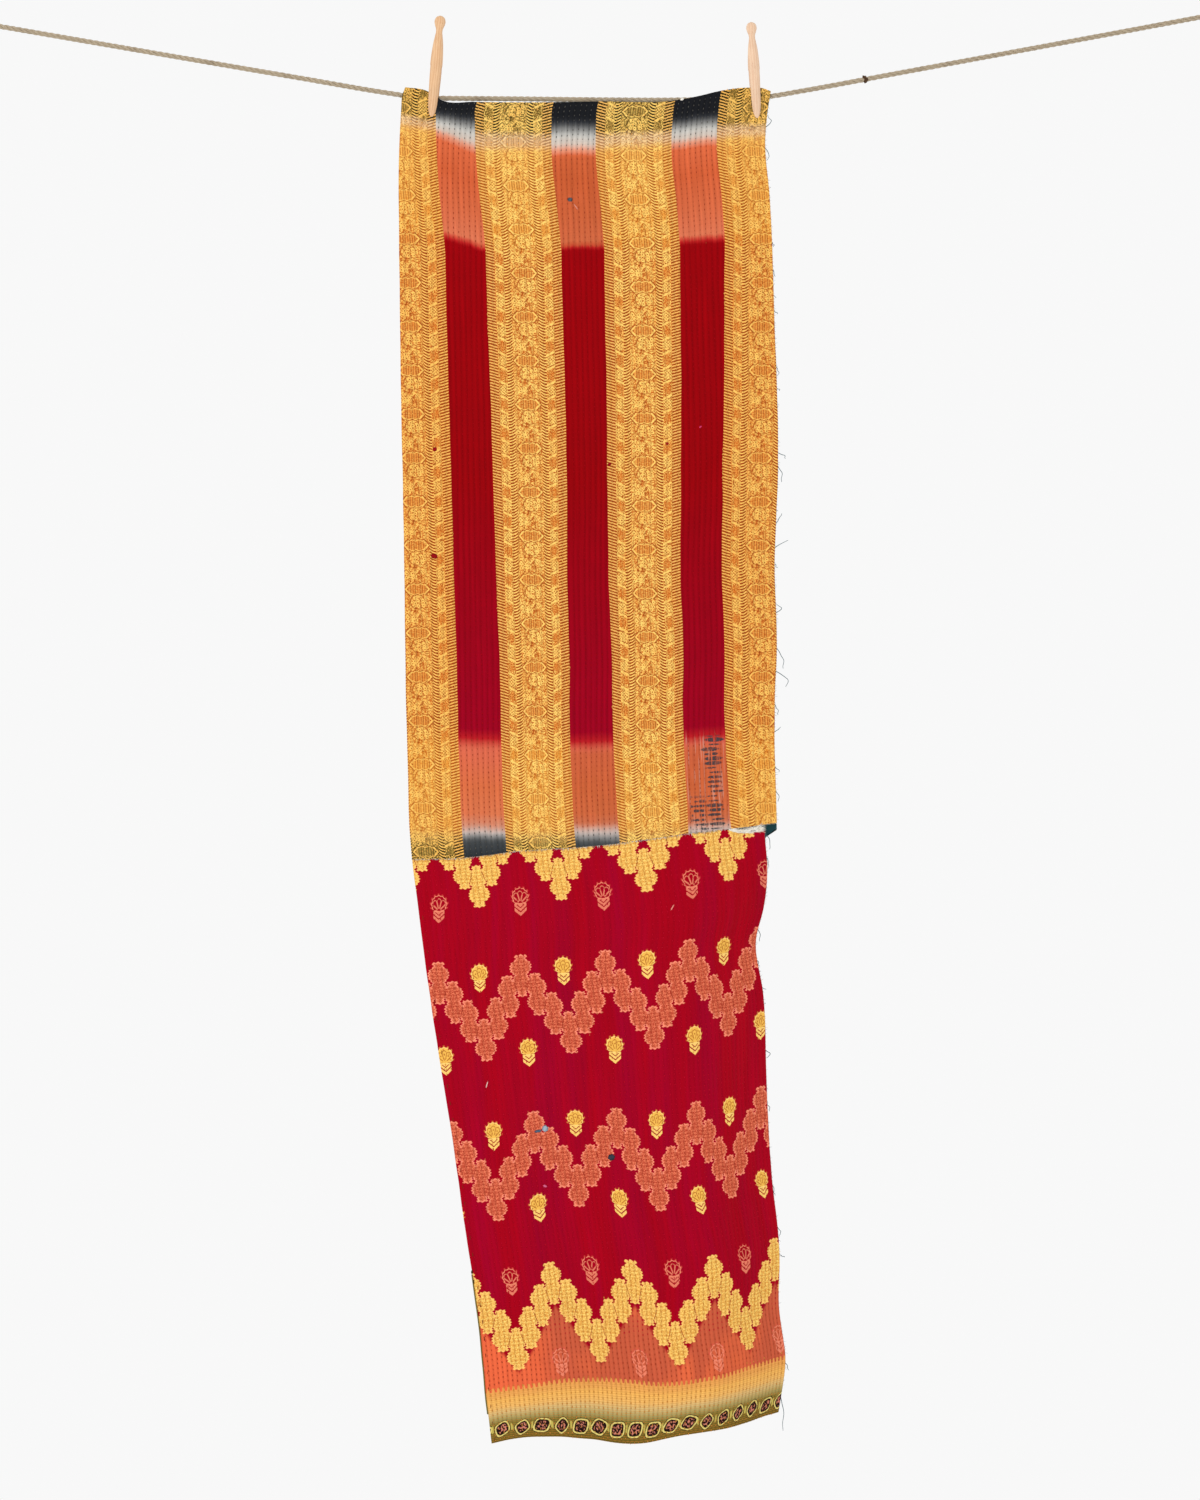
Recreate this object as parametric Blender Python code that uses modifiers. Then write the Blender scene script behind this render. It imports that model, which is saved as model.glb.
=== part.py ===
"""Kantha cloth pegged on a rope line.

A long two-layer kantha runner hangs by its top edge from a taut twisted rope, held by two turned
dolly pegs. A striped panel laps over a crimson panel; a backing lies behind both.
Frame: metres, +Z up, +X to the right, the cloth faces -Y, origin at the eye of the rope's left end.
"""
import math

import bmesh
import bpy
import numpy as np
from mathutils import Matrix, Vector

MM = 0.001
MERGE = 0.01 * MM  # points nearer than this are one
GAP = 0.3 * MM  # between neighbouring pieces
LAYER = 1.0 * MM  # one layer of cloth
RIB_RELIEF = 0.45 * MM  # how far the quilting stands up between two rows of stitches
RIBS = 68  # rows of running stitch across the cloth
STEPS = 2 * RIBS  # a point on each stitch row and one on each rib
# How many ribs each plain facet behind the ribs spans, from left to right.
FACETS = (4,) * 12 + (2,) * 10

# Where the cloth hangs: its reference line on the left, at the level of the rope.
CLOTH_X = 0.4672
CLOTH_Z = -0.0847

# Outline of the cloth in millimetres.
#             down, across
LEFT_EDGE = (
    (-11.6, 6.3), (-3.2, 3.2), (10.5, 2.1), (52.5, 0.0), (157.5, 0.0), (315.0, 2.1),
    (483.0, 5.2), (682.5, 8.4), (787.5, 12.6), (840.0, 18.9), (903.0, 27.3), (982.0, 38.9),
    (1094.0, 56.7), (1181.0, 69.3), (1297.0, 86.1), (1365.0, 92.4), (1408.0, 97.7),
)
#             down, across
RIGHT_EDGE = (
    (-7.4, 389.6), (12.6, 386.4), (42.0, 383.8), (105.0, 388.5), (210.0, 392.7),
    (399.0, 396.9), (483.0, 393.8), (577.5, 395.9), (630.0, 393.8), (765.0, 396.0),
)
#             down, across: the lower panel is cut a little narrower
LOWER_RIGHT_EDGE = (
    (740.0, 383.2), (769.6, 383.2), (806.4, 386.4), (850.5, 383.2), (882.0, 375.4),
    (945.0, 383.2), (1039.5, 386.4), (1134.0, 391.7), (1218.0, 400.1), (1275.0, 399.5),
    (1333.5, 406.4), (1387.0, 399.0),
)
#             share of the width, down
TOP_EDGE = (
    (0.0, -11.6), (0.058, -7.9), (0.10, 2.0), (0.19, 3.7), (0.31, 4.2), (0.53, 3.4),
    (0.74, 2.1), (0.805, -2.6), (0.86, -7.6), (0.94, -11.2), (0.975, -10.8), (1.0, -7.4),
)
#             share of the width, down
SEAM = (
    (0.0, 798.0), (0.148, 795.9), (0.26, 790.6), (0.515, 783.3), (0.762, 770.7),
    (0.871, 765.5), (1.0, 759.1),
)
#             share of the width, down
HEM = (
    (0.0, 1408.0), (0.06, 1402.8), (0.17, 1399.7), (0.32, 1403.9), (0.45, 1410.2),
    (0.64, 1399.7), (0.80, 1394.4), (1.0, 1387.0),
)

# The folds: how far the cloth is turned away, in degrees, at shares of its flat width.
# A row's height runs from 0 at the top edge over 1 at the seam to 2 at the hem.
FOLD_AT = (0.0, 0.10, 0.22, 0.36, 0.46, 0.56, 0.66, 0.74, 0.82, 1.0)
#    height, degrees
FOLDS = (
    (0.00, (0, 0, 0, 0, 0, 0, 0, 0, 0, 0)),
    (0.05, (0, 0, 0, 0, 0, 0, 0, 0, 0, 0)),
    (0.25, (-3, -2, 0, 3, 3, 0, -3, -3, 0, 4)),
    (0.50, (-4, -3, 0, 3, 4, 1, -3, -3, 1, 4)),
    (0.80, (-2, -2, -1, 1, 2, 1, 0, 1, 2, 3)),
    (0.94, (0, 0, 0, 0, 0, 0, 0, 0, 0, 0)),
    (1.03, (0, 0, 0, 0, 0, 0, 0, 0, 0, 0)),
    (1.10, (-1, -1, 0, 1, 0, -1, 2, 9, 26, 30)),
    (1.18, (-2, -2, 1, 2, 0, -2, 3, 16, 38, 40)),
    (1.50, (-4, -4, 3, 5, -2, -6, 4, 18, 39, 38)),
    (1.80, (-7, -7, 8, 11, -3, -9, 5, 20, 40, 38)),
    (2.00, (-9, -8, 10, 15, -4, -11, 7, 22, 41, 37)),
)

# Row heights of the facets.
LAP_START = 0.97  # below this height the upper panel lies over the lower one
UPPER_ROWS = (0.0, 0.03, 0.07, 0.15, 0.26, 0.42, 0.60, 0.78, 0.945, LAP_START, 1.0)
LAP_ROWS = (1.010, 1.017)
LOWER_ROWS = (1.03, 1.08, 1.14, 1.20, 1.28, 1.38, 1.48, 1.58, 1.68, 1.77, 1.85, 1.93, 2.0)
TUCK = 0.975  # the lower panel's top edge, under the upper panel's raw edge
SHOWING_EDGE = 1.013  # the same edge at the right, where it shows below the upper panel
TUCK_ENDS = (0.78, 0.95)  # shares of the width between which that edge comes out
LAP_ENDS = (0.90, 1.0)  # shares of the width over which the upper panel sinks to the backing

# The rope, from its left eye behind the cloth to its right eye.
ROPE_RADIUS = 2.8 * MM
ROPE_VALLEY = 2.2 * MM
ROPE_TURN = 20.5 * MM  # length of a full turn of its three strands
RINGS_PER_TURN = 6
ROPE_POINTS = (
    (0.0473, -0.0081), (0.1522, -0.0262), (0.2572, -0.0443), (0.3623, -0.0623),
    (0.4567, -0.0784), (0.4830, -0.0822), (0.4960, -0.0834), (0.5124, -0.0836),
    (0.5975, -0.0843), (0.6773, -0.0852), (0.7560, -0.0854), (0.8243, -0.0838),
    (0.8421, -0.0829), (0.8568, -0.0815), (0.8872, -0.0764), (0.9922, -0.0570),
    (1.0973, -0.0376), (1.2023, -0.0182), (1.3073, 0.0014),
)
LEFT_EYE = (0.0, 0.0)
RIGHT_EYE = (1.3545, 0.0102)
EYE_RADIUS = 13.0 * MM
KNOT_AT = 20.0 * MM  # from the eye's centre
KNOT_SIZE = (9.0 * MM, 6.0 * MM, 6.0 * MM)

# A dolly peg 110 mm long, in millimetres.
#    above its tip, radius
PEG_PROFILE = (
    (110.0, 0.0), (108.8, 3.2), (106.0, 5.3), (103.0, 5.8), (99.5, 5.0), (96.0, 3.7),
    (93.0, 3.4), (89.0, 3.9), (83.0, 4.9), (74.0, 5.8), (64.0, 6.4), (50.0, 6.4),
    (35.0, 6.0), (22.0, 5.7), (12.0, 5.0), (6.0, 3.9), (2.0, 2.2), (0.0, 0.9),
)
PEG_STEPS = 20
CREASE_ANGLE = 40.0  # edges sharper than this aren't shaded smooth
SLOT_WIDTH = 5.0 * MM
SLOT_LENGTH = 58.0 * MM
SLOT_ARC_STEP = 30  # degrees, round the slot's closed end
CLAMP_LENGTH = 38.0 * MM  # up to here the legs stand apart by what they hold
SPLAY_CUTS = 5  # how many times a leg's bend is divided
CUTTER_REACH = 10.0 * MM  # how far the slot's cutter runs past the peg
# name, tip x, tip z, lean in degrees to the right, share of the full size
PEGS = (
    ("peg_left", 0.5009, -0.1068, 4.95, 1.0),
    ("peg_right", 0.8426, -0.1082, -3.50, 0.95),
)

COLOURS = {
    "striped_panel": (0.72, 0.10, 0.03, 0.9),
    "zigzag_panel": (0.42, 0.005, 0.02, 0.9),
    "backing": (0.03, 0.09, 0.09, 0.9),
    "peg_left": (0.80, 0.60, 0.42, 0.6),
    "peg_right": (0.80, 0.60, 0.42, 0.6),
    "rope_line": (0.45, 0.38, 0.30, 0.95),
    "end_loop_left": (0.45, 0.38, 0.30, 0.95),
    "end_loop_right": (0.45, 0.38, 0.30, 0.95),
}

# The cloth's rear face hangs just in front of the rope.
REAR_Y = -(ROPE_RADIUS + GAP)
FRONT_LIFT = LAYER + GAP  # a front panel's rear face, from the backing's rear face
STACK_FRONT_Y = REAR_Y - FRONT_LIFT - LAYER - RIB_RELIEF


def smooth(table, at):
    """Reads a smooth curve through a table's points, with level ends held."""
    x, y = np.array(table, float).T
    slope = np.gradient(y, x)
    at = np.clip(at, x[0], x[-1])
    i = np.clip(np.searchsorted(x, at, side="right") - 1, 0, len(x) - 2)
    width = x[i + 1] - x[i]
    t = (at - x[i]) / width
    rise = (2 * t**3 - 3 * t**2 + 1) * y[i] + (3 * t**2 - 2 * t**3) * y[i + 1]
    return rise + width * ((t**3 - 2 * t**2 + t) * slope[i] + (t**3 - t**2) * slope[i + 1])


def ease(low, high, at):
    """0 below low, 1 above high, smooth between."""
    t = np.clip((np.asarray(at, float) - low) / (high - low), 0.0, 1.0)
    return t * t * (3.0 - 2.0 * t)


def fold_angles(height, shares):
    """How far the cloth is turned away across a row, in radians."""
    heights = [row[0] for row in FOLDS]
    degrees = np.array([row[1] for row in FOLDS], float)
    here = [np.interp(height, heights, column) for column in degrees.T]
    return np.radians(np.interp(shares, FOLD_AT, here))


def row_down(height, shares):
    """How far below the rope a row lies, in millimetres."""
    top, seam, hem = (smooth(edge, shares) for edge in (TOP_EDGE, SEAM, HEM))
    upper = top + (seam - top) * np.minimum(height, 1.0)
    return upper + (hem - seam) * np.maximum(height - 1.0, 0.0)


def row_points(height, right_edge):
    """Points of the cloth's rear face along one row, one on each stitch row and rib."""
    shares = np.linspace(0.0, 1.0, STEPS + 1)
    down = row_down(height, shares)
    angles = fold_angles(float(np.max(height)), shares)
    across = np.concatenate([[0.0], np.cumsum(np.cos((angles[1:] + angles[:-1]) / 2))])
    back = np.concatenate([[0.0], np.cumsum(np.sin((angles[1:] + angles[:-1]) / 2))])
    left = float(smooth(LEFT_EDGE, down[0]))
    right = float(smooth(right_edge, down[-1]))
    scale = (right - left) / across[-1]
    x = left + scale * across
    y = scale * (back - back.mean())
    return np.stack([CLOTH_X + x * MM, REAR_Y + y * MM, CLOTH_Z - down * MM], axis=1)


def tucked(height):
    """Heights across the lower panel's first rows, which start at its tucked or showing edge."""
    shares = np.linspace(0.0, 1.0, STEPS + 1)
    start = TUCK + (SHOWING_EDGE - TUCK) * ease(*TUCK_ENDS, shares)
    end = LOWER_ROWS[0]
    if height >= end:
        return np.full(STEPS + 1, height)
    return start + (height - TUCK) * (end - start) / (end - TUCK)


def facet_columns():
    return np.concatenate([[0], np.cumsum(FACETS)]) * 2


def grid_normals(points):
    """Unit normals of a grid of points, towards the front."""
    along = np.gradient(points, axis=0)
    over = np.gradient(points, axis=1)
    normals = np.cross(over, along)
    normals *= np.where(normals[..., 1:2] > 0, -1.0, 1.0)
    return normals / np.linalg.norm(normals, axis=2, keepdims=True)


def between_facets(values):
    """Values at the facets' columns, carried in straight lines to every rib and stitch row."""
    columns = facet_columns()
    every = np.arange(STEPS + 1)
    out = np.empty((values.shape[0], STEPS + 1, 3))
    for row in range(values.shape[0]):
        for axis in range(3):
            out[row, :, axis] = np.interp(every, columns, values[row, :, axis])
    return out


def sheet_mesh(name, front, rear, front_columns, rear_columns):
    """A closed sheet between two grids that share their rows and their facets' columns."""
    rows = len(front)
    mesh = bmesh.new()
    front_verts = [[mesh.verts.new(p) for p in row] for row in front]
    rear_verts = [[mesh.verts.new(p) for p in row] for row in rear]
    for grid in (front_verts, rear_verts):
        for upper, lower in zip(grid[:-1], grid[1:]):
            for j in range(len(upper) - 1):
                mesh.faces.new((upper[j], lower[j], lower[j + 1]))
                mesh.faces.new((upper[j], lower[j + 1], upper[j + 1]))
    for i in range(rows - 1):
        for side in (0, -1):
            mesh.faces.new((front_verts[i][side], front_verts[i + 1][side],
                            rear_verts[i + 1][side], rear_verts[i][side]))
    place = {column: j for j, column in enumerate(front_columns)}
    for end in (0, -1):
        for j in range(len(rear_columns) - 1):
            first, last = place[rear_columns[j]], place[rear_columns[j + 1]]
            rim = front_verts[end][first:last + 1]
            mesh.faces.new(rim + [rear_verts[end][j + 1], rear_verts[end][j]])
    bmesh.ops.recalc_face_normals(mesh, faces=mesh.faces)
    data = bpy.data.meshes.new(name)
    mesh.to_mesh(data)
    mesh.free()
    return bpy.data.objects.new(name, data)


def panel(name, base, lift, relief):
    """A front panel: plain facets behind, ribs of quilting in front. lift and relief are grids."""
    columns = facet_columns()
    coarse = base[:, columns]
    normals = grid_normals(coarse)
    rear = coarse + normals * lift[:, columns, None]
    face = between_facets(rear + normals * LAYER)
    crest = (np.arange(STEPS + 1) % 2)[None, :, None] * relief[..., None]
    front = face + between_facets(normals) * crest
    return sheet_mesh(name, front, rear, np.arange(STEPS + 1), columns)


def striped_panel():
    """The upper panel, whose lower raw edge laps over the lower panel."""
    base = np.array([row_points(height, RIGHT_EDGE) for height in UPPER_ROWS])
    shares = np.linspace(0.0, 1.0, STEPS + 1)
    lapping = np.array([height >= LAP_START for height in UPPER_ROWS], float)[:, None]
    over = 1.0 - ease(*LAP_ENDS, shares)[None, :]
    lift = FRONT_LIFT + (LAYER + GAP) * lapping * over
    relief = np.full(lift.shape, RIB_RELIEF)
    return panel("striped_panel", base, lift, relief)


def zigzag_panel():
    """The lower panel, tucked under the upper one and free at the hem."""
    heights = (TUCK, 1.0) + LOWER_ROWS
    base = np.array([row_points(tucked(height), LOWER_RIGHT_EDGE) for height in heights])
    lift = np.full(base.shape[:2], FRONT_LIFT)
    free = np.array([height >= LOWER_ROWS[0] for height in heights], float)[:, None]
    relief = np.full(base.shape[:2], RIB_RELIEF) * free
    return panel("zigzag_panel", base, lift, relief)


def backing():
    """The full-length rear layer. Its edge steps in below the corner that shows at the seam."""
    heights = UPPER_ROWS + LAP_ROWS + LOWER_ROWS
    step = LAP_ROWS[0]
    base = np.array([
        row_points(height, RIGHT_EDGE if height <= step else LOWER_RIGHT_EDGE)
        for height in heights
    ])
    columns = facet_columns()
    rear = base[:, columns]
    front = rear + grid_normals(rear) * LAYER
    return sheet_mesh("backing", front, rear, columns, columns)


def splay(above_tip, size):
    """How far each leg is pushed out, at heights above the peg's tip."""
    half_apart = (ROPE_RADIUS + GAP - (STACK_FRONT_Y - GAP)) / 2
    outward = half_apart - SLOT_WIDTH / 2
    return outward * (1.0 - ease(CLAMP_LENGTH * size, SLOT_LENGTH * size, above_tip))


def turned_peg(name, size, made, cutters):
    """A peg turned from a profile, slotted from its tip."""
    profile = bmesh.new()
    verts = [profile.verts.new((r * MM * size, 0.0, h * MM * size)) for h, r in PEG_PROFILE]
    verts.append(profile.verts.new((0.0, 0.0, 0.0)))
    for a, b in zip(verts[:-1], verts[1:]):
        profile.edges.new((a, b))
    data = bpy.data.meshes.new(name)
    profile.to_mesh(data)
    profile.free()
    turned = bpy.data.objects.new(name + "_turned", data)
    made.objects.link(turned)
    screw = turned.modifiers.new("turn", "SCREW")
    screw.steps = PEG_STEPS
    screw.render_steps = PEG_STEPS
    screw.use_merge_vertices = True
    screw.merge_threshold = MERGE

    # The slot ends in a half round.
    outline = bmesh.new()
    half = SLOT_WIDTH / 2
    top = SLOT_LENGTH * size - half
    flat = [(-half, -CUTTER_REACH), (half, -CUTTER_REACH)]
    arc = [(math.cos(math.radians(a)) * half, top + math.sin(math.radians(a)) * half)
           for a in range(0, 181, SLOT_ARC_STEP)]
    face = outline.faces.new([outline.verts.new((-CUTTER_REACH, y, z)) for y, z in flat + arc])
    cut = bmesh.ops.extrude_face_region(outline, geom=[face])
    moved = [v for v in cut["geom"] if isinstance(v, bmesh.types.BMVert)]
    bmesh.ops.translate(outline, vec=(2 * CUTTER_REACH, 0.0, 0.0), verts=moved)
    bmesh.ops.recalc_face_normals(outline, faces=outline.faces)
    cutter_data = bpy.data.meshes.new(name + "_slot")
    outline.to_mesh(cutter_data)
    outline.free()
    cutter = bpy.data.objects.new(name + "_slot", cutter_data)
    cutters.objects.link(cutter)
    cutter.hide_render = True
    cutter.display_type = "WIRE"

    boolean = turned.modifiers.new("slot", "BOOLEAN")
    boolean.operation = "DIFFERENCE"
    boolean.object = cutter
    bpy.context.view_layer.update()
    seen = turned.evaluated_get(bpy.context.evaluated_depsgraph_get())
    slotted = bpy.data.meshes.new_from_object(seen)
    bpy.data.objects.remove(turned)
    return slotted


def peg(name, tip_x, tip_z, lean, size, made, cutters):
    """A slotted peg whose legs are spread over the rope and the cloth's top edge."""
    slotted = turned_peg(name, size, made, cutters)
    mesh = bmesh.new()
    mesh.from_mesh(slotted)
    low, high = CLAMP_LENGTH * size, SLOT_LENGTH * size
    for level in np.linspace(low, high, SPLAY_CUTS + 1)[:-1]:
        everything = mesh.verts[:] + mesh.edges[:] + mesh.faces[:]
        bmesh.ops.bisect_plane(mesh, geom=everything, dist=MERGE / 10,
                               plane_co=(0.0, 0.0, level), plane_no=(0.0, 0.0, 1.0))
    for vert in mesh.verts:
        if vert.co.z < high:
            vert.co.y += math.copysign(float(splay(vert.co.z, size)), vert.co.y)
    bmesh.ops.remove_doubles(mesh, verts=mesh.verts, dist=MERGE)
    middle = (ROPE_RADIUS + GAP + STACK_FRONT_Y - GAP) / 2
    place = Matrix.Translation((tip_x, middle, tip_z)) @ Matrix.Rotation(math.radians(lean), 4, "Y")
    bmesh.ops.recalc_face_normals(mesh, faces=mesh.faces)
    mesh.to_mesh(slotted)
    mesh.free()
    slotted.name = name
    slotted.shade_smooth()
    slotted.set_sharp_from_angle(angle=math.radians(CREASE_ANGLE))
    out = bpy.data.objects.new(name, slotted)
    out.matrix_world = place
    return out


def rope_route():
    """The rope's middle line, a point for each ring, and how far along it each point lies."""
    first = knot_end(LEFT_EYE, ROPE_POINTS[0])
    last = knot_end(RIGHT_EYE, ROPE_POINTS[-1])
    route = np.array((first,) + ROPE_POINTS + (last,))
    steps = np.linalg.norm(np.diff(route, axis=0), axis=1)
    along = np.concatenate([[0.0], np.cumsum(steps)])
    count = int(along[-1] / (ROPE_TURN / RINGS_PER_TURN)) + 1
    at = np.linspace(0.0, along[-1], count)
    x = smooth(np.stack([along, route[:, 0]], axis=1), at)
    z = smooth(np.stack([along, route[:, 1]], axis=1), at)
    return np.stack([x, np.zeros(count), z], axis=1), at


def knot_end(eye, towards):
    """Where the rope leaves the knot of an eye."""
    way = Vector(towards) - Vector(eye)
    return tuple(Vector(eye) + way.normalized() * (KNOT_AT + KNOT_SIZE[0] + GAP))


def rope_line():
    """A three-strand rope: three rounded ridges that wind round the route."""
    points, at = rope_route()
    tangents = np.gradient(points, axis=0)
    mesh = bmesh.new()
    rings = []
    side = Vector((0.0, 1.0, 0.0))
    for point, tangent, distance in zip(points, tangents, at):
        up = Vector(tangent).normalized().cross(side)
        turn = 2 * math.pi * distance / ROPE_TURN
        ring = []
        for k in range(6):
            radius = ROPE_RADIUS if k % 2 == 0 else ROPE_VALLEY
            angle = turn + k * math.pi / 3
            offset = side * math.cos(angle) + up * math.sin(angle)
            ring.append(mesh.verts.new(Vector(point) + offset * radius))
        rings.append(ring)
    for a, b in zip(rings[:-1], rings[1:]):
        for k in range(6):
            mesh.faces.new((a[k], b[k], b[(k + 1) % 6], a[(k + 1) % 6]))
    mesh.faces.new(rings[0])
    mesh.faces.new(rings[-1])
    bmesh.ops.recalc_face_normals(mesh, faces=mesh.faces)
    data = bpy.data.meshes.new("rope_line")
    mesh.to_mesh(data)
    mesh.free()
    return bpy.data.objects.new("rope_line", data)


def end_loop(name, eye, towards, made, cutters):
    """A plain eye with its knot, in the plane of the cloth."""
    way = Vector(towards) - Vector(eye)
    turn = Matrix.Rotation(-math.atan2(way[1], way[0]), 4, "Y")
    place = Matrix.Translation((eye[0], 0.0, eye[1])) @ turn
    bpy.ops.mesh.primitive_torus_add(major_radius=EYE_RADIUS, minor_radius=ROPE_RADIUS,
                                     major_segments=20, minor_segments=8)
    ring = bpy.context.object
    ring.data.transform(Matrix.Rotation(math.pi / 2, 4, "X"))
    bpy.ops.mesh.primitive_uv_sphere_add(radius=1.0, segments=12, ring_count=8)
    knot = bpy.context.object
    knot.data.transform(Matrix.Rotation(math.pi / 2, 4, "Y"))
    knot.data.transform(Matrix.Diagonal((*KNOT_SIZE, 1.0)))
    knot.data.transform(Matrix.Translation((KNOT_AT, 0.0, 0.0)))
    for loose in (ring, knot):
        loose.matrix_world = place
        for collection in loose.users_collection:
            collection.objects.unlink(loose)
    made.objects.link(ring)
    cutters.objects.link(knot)
    knot.name = name + "_knot"
    knot.hide_render = True
    knot.display_type = "WIRE"
    ring.name = name
    join = ring.modifiers.new("knot", "BOOLEAN")
    join.operation = "UNION"
    join.object = knot
    return ring


def finish(thing, made):
    """Gives a piece its own material and puts it in the collection."""
    red, green, blue, roughness = COLOURS[thing.name]
    material = bpy.data.materials.new(thing.name)
    material.use_nodes = True
    shader = material.node_tree.nodes["Principled BSDF"]
    shader.inputs["Base Color"].default_value = (red, green, blue, 1.0)
    shader.inputs["Roughness"].default_value = roughness
    shader.inputs["Metallic"].default_value = 0.0
    thing.data.materials.append(material)
    if thing.name not in made.objects:
        made.objects.link(thing)


def main():
    for old in list(bpy.data.objects):
        bpy.data.objects.remove(old)
    made = bpy.data.collections.new("kantha_cloth")
    cutters = bpy.data.collections.new("cutters")
    bpy.context.scene.collection.children.link(made)
    bpy.context.scene.collection.children.link(cutters)
    finish(striped_panel(), made)
    finish(zigzag_panel(), made)
    finish(backing(), made)
    for name, tip_x, tip_z, lean, size in PEGS:
        finish(peg(name, tip_x, tip_z, lean, size, made, cutters), made)
    finish(rope_line(), made)
    finish(end_loop("end_loop_left", LEFT_EYE, ROPE_POINTS[0], made, cutters), made)
    finish(end_loop("end_loop_right", RIGHT_EYE, ROPE_POINTS[-1], made, cutters), made)


main()
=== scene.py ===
"""The finish of the kantha cloth pegged on a rope line.

A striped and a crimson panel, quilted over a teal backing with rows of running stitch, hang from a taut
three-strand rope under two dolly pegs. The shape of the cloth repeats the construction's named tables.
Frame: metres, +Z up, +X to the right, the cloth faces -Y. Tables of the cloth are in millimetres.
"""
import math

import bmesh
import bpy
import numpy as np
from mathutils import Matrix, Vector


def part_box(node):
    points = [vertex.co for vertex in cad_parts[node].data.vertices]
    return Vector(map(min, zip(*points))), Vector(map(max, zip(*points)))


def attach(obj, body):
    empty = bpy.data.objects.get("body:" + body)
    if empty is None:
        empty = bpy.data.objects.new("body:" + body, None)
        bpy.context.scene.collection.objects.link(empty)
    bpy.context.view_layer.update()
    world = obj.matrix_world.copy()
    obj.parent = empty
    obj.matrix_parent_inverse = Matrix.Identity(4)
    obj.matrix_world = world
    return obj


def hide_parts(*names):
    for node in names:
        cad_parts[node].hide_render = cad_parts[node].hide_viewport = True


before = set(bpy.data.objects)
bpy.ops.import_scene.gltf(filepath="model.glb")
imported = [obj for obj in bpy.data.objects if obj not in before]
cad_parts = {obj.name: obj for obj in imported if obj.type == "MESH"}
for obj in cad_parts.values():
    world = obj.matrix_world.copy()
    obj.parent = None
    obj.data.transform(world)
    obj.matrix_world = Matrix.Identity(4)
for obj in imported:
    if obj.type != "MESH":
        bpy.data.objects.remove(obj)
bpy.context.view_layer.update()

bl_info = {
    "name": "Kantha Cloth on a Rope Line",
    "version": (1, 0, 0),
    "blender": (4, 5, 0),
    "location": "3D View > Sidebar > Kantha",
    "description": "Dresses the packed kantha cloth, its rope and its pegs",
    "category": "Object",
}

MM = 0.001
GAP = 0.3 * MM
LAYER = 1.0 * MM
RIBS = 68
CLOTH_X = 0.4672
CLOTH_Z = -0.0847
CLOTH_WIDTH = 385.0

# Outline of the cloth.
#             down, across
LEFT_EDGE = (
    (-11.6, 6.3), (-3.2, 3.2), (10.5, 2.1), (52.5, 0.0), (157.5, 0.0), (315.0, 2.1),
    (483.0, 5.2), (682.5, 8.4), (787.5, 12.6), (840.0, 18.9), (903.0, 27.3), (982.0, 38.9),
    (1094.0, 56.7), (1181.0, 69.3), (1297.0, 86.1), (1365.0, 92.4), (1408.0, 97.7),
)
RIGHT_EDGE = (
    (-7.4, 389.6), (12.6, 386.4), (42.0, 383.8), (105.0, 388.5), (210.0, 392.7),
    (399.0, 396.9), (483.0, 393.8), (577.5, 395.9), (630.0, 393.8), (765.0, 396.0),
)
LOWER_RIGHT_EDGE = (
    (740.0, 383.2), (769.6, 383.2), (806.4, 386.4), (850.5, 383.2), (882.0, 375.4),
    (945.0, 383.2), (1039.5, 386.4), (1134.0, 391.7), (1218.0, 400.1), (1275.0, 399.5),
    (1333.5, 406.4), (1387.0, 399.0),
)
#             share of the width, down
TOP_EDGE = (
    (0.0, -11.6), (0.058, -7.9), (0.10, 2.0), (0.19, 3.7), (0.31, 4.2), (0.53, 3.4),
    (0.74, 2.1), (0.805, -2.6), (0.86, -7.6), (0.94, -11.2), (0.975, -10.8), (1.0, -7.4),
)
SEAM = (
    (0.0, 798.0), (0.148, 795.9), (0.26, 790.6), (0.515, 783.3), (0.762, 770.7),
    (0.871, 765.5), (1.0, 759.1),
)
HEM = (
    (0.0, 1408.0), (0.06, 1402.8), (0.17, 1399.7), (0.32, 1403.9), (0.45, 1410.2),
    (0.64, 1399.7), (0.80, 1394.4), (1.0, 1387.0),
)
# The folds: how far the cloth is turned away, in degrees, at shares of its flat width.
FOLD_AT = (0.0, 0.10, 0.22, 0.36, 0.46, 0.56, 0.66, 0.74, 0.82, 1.0)
FOLDS = (
    (0.00, (0, 0, 0, 0, 0, 0, 0, 0, 0, 0)),
    (0.05, (0, 0, 0, 0, 0, 0, 0, 0, 0, 0)),
    (0.25, (-3, -2, 0, 3, 3, 0, -3, -3, 0, 4)),
    (0.50, (-4, -3, 0, 3, 4, 1, -3, -3, 1, 4)),
    (0.80, (-2, -2, -1, 1, 2, 1, 0, 1, 2, 3)),
    (0.94, (0, 0, 0, 0, 0, 0, 0, 0, 0, 0)),
    (1.03, (0, 0, 0, 0, 0, 0, 0, 0, 0, 0)),
    (1.10, (-1, -1, 0, 1, 0, -1, 2, 9, 26, 30)),
    (1.18, (-2, -2, 1, 2, 0, -2, 3, 16, 38, 40)),
    (1.50, (-4, -4, 3, 5, -2, -6, 4, 18, 39, 38)),
    (1.80, (-7, -7, 8, 11, -3, -9, 5, 20, 40, 38)),
    (2.00, (-9, -8, 10, 15, -4, -11, 7, 22, 41, 37)),
)
LAP_RISE = (0.945, 0.965)  # heights over which the upper panel climbs onto the lower one
LAP_ENDS = (0.90, 1.0)
TUCK = 0.975
SHOWING_EDGE = 1.013
TUCK_ENDS = (0.78, 0.95)
LOWER_START = 1.03
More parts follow.
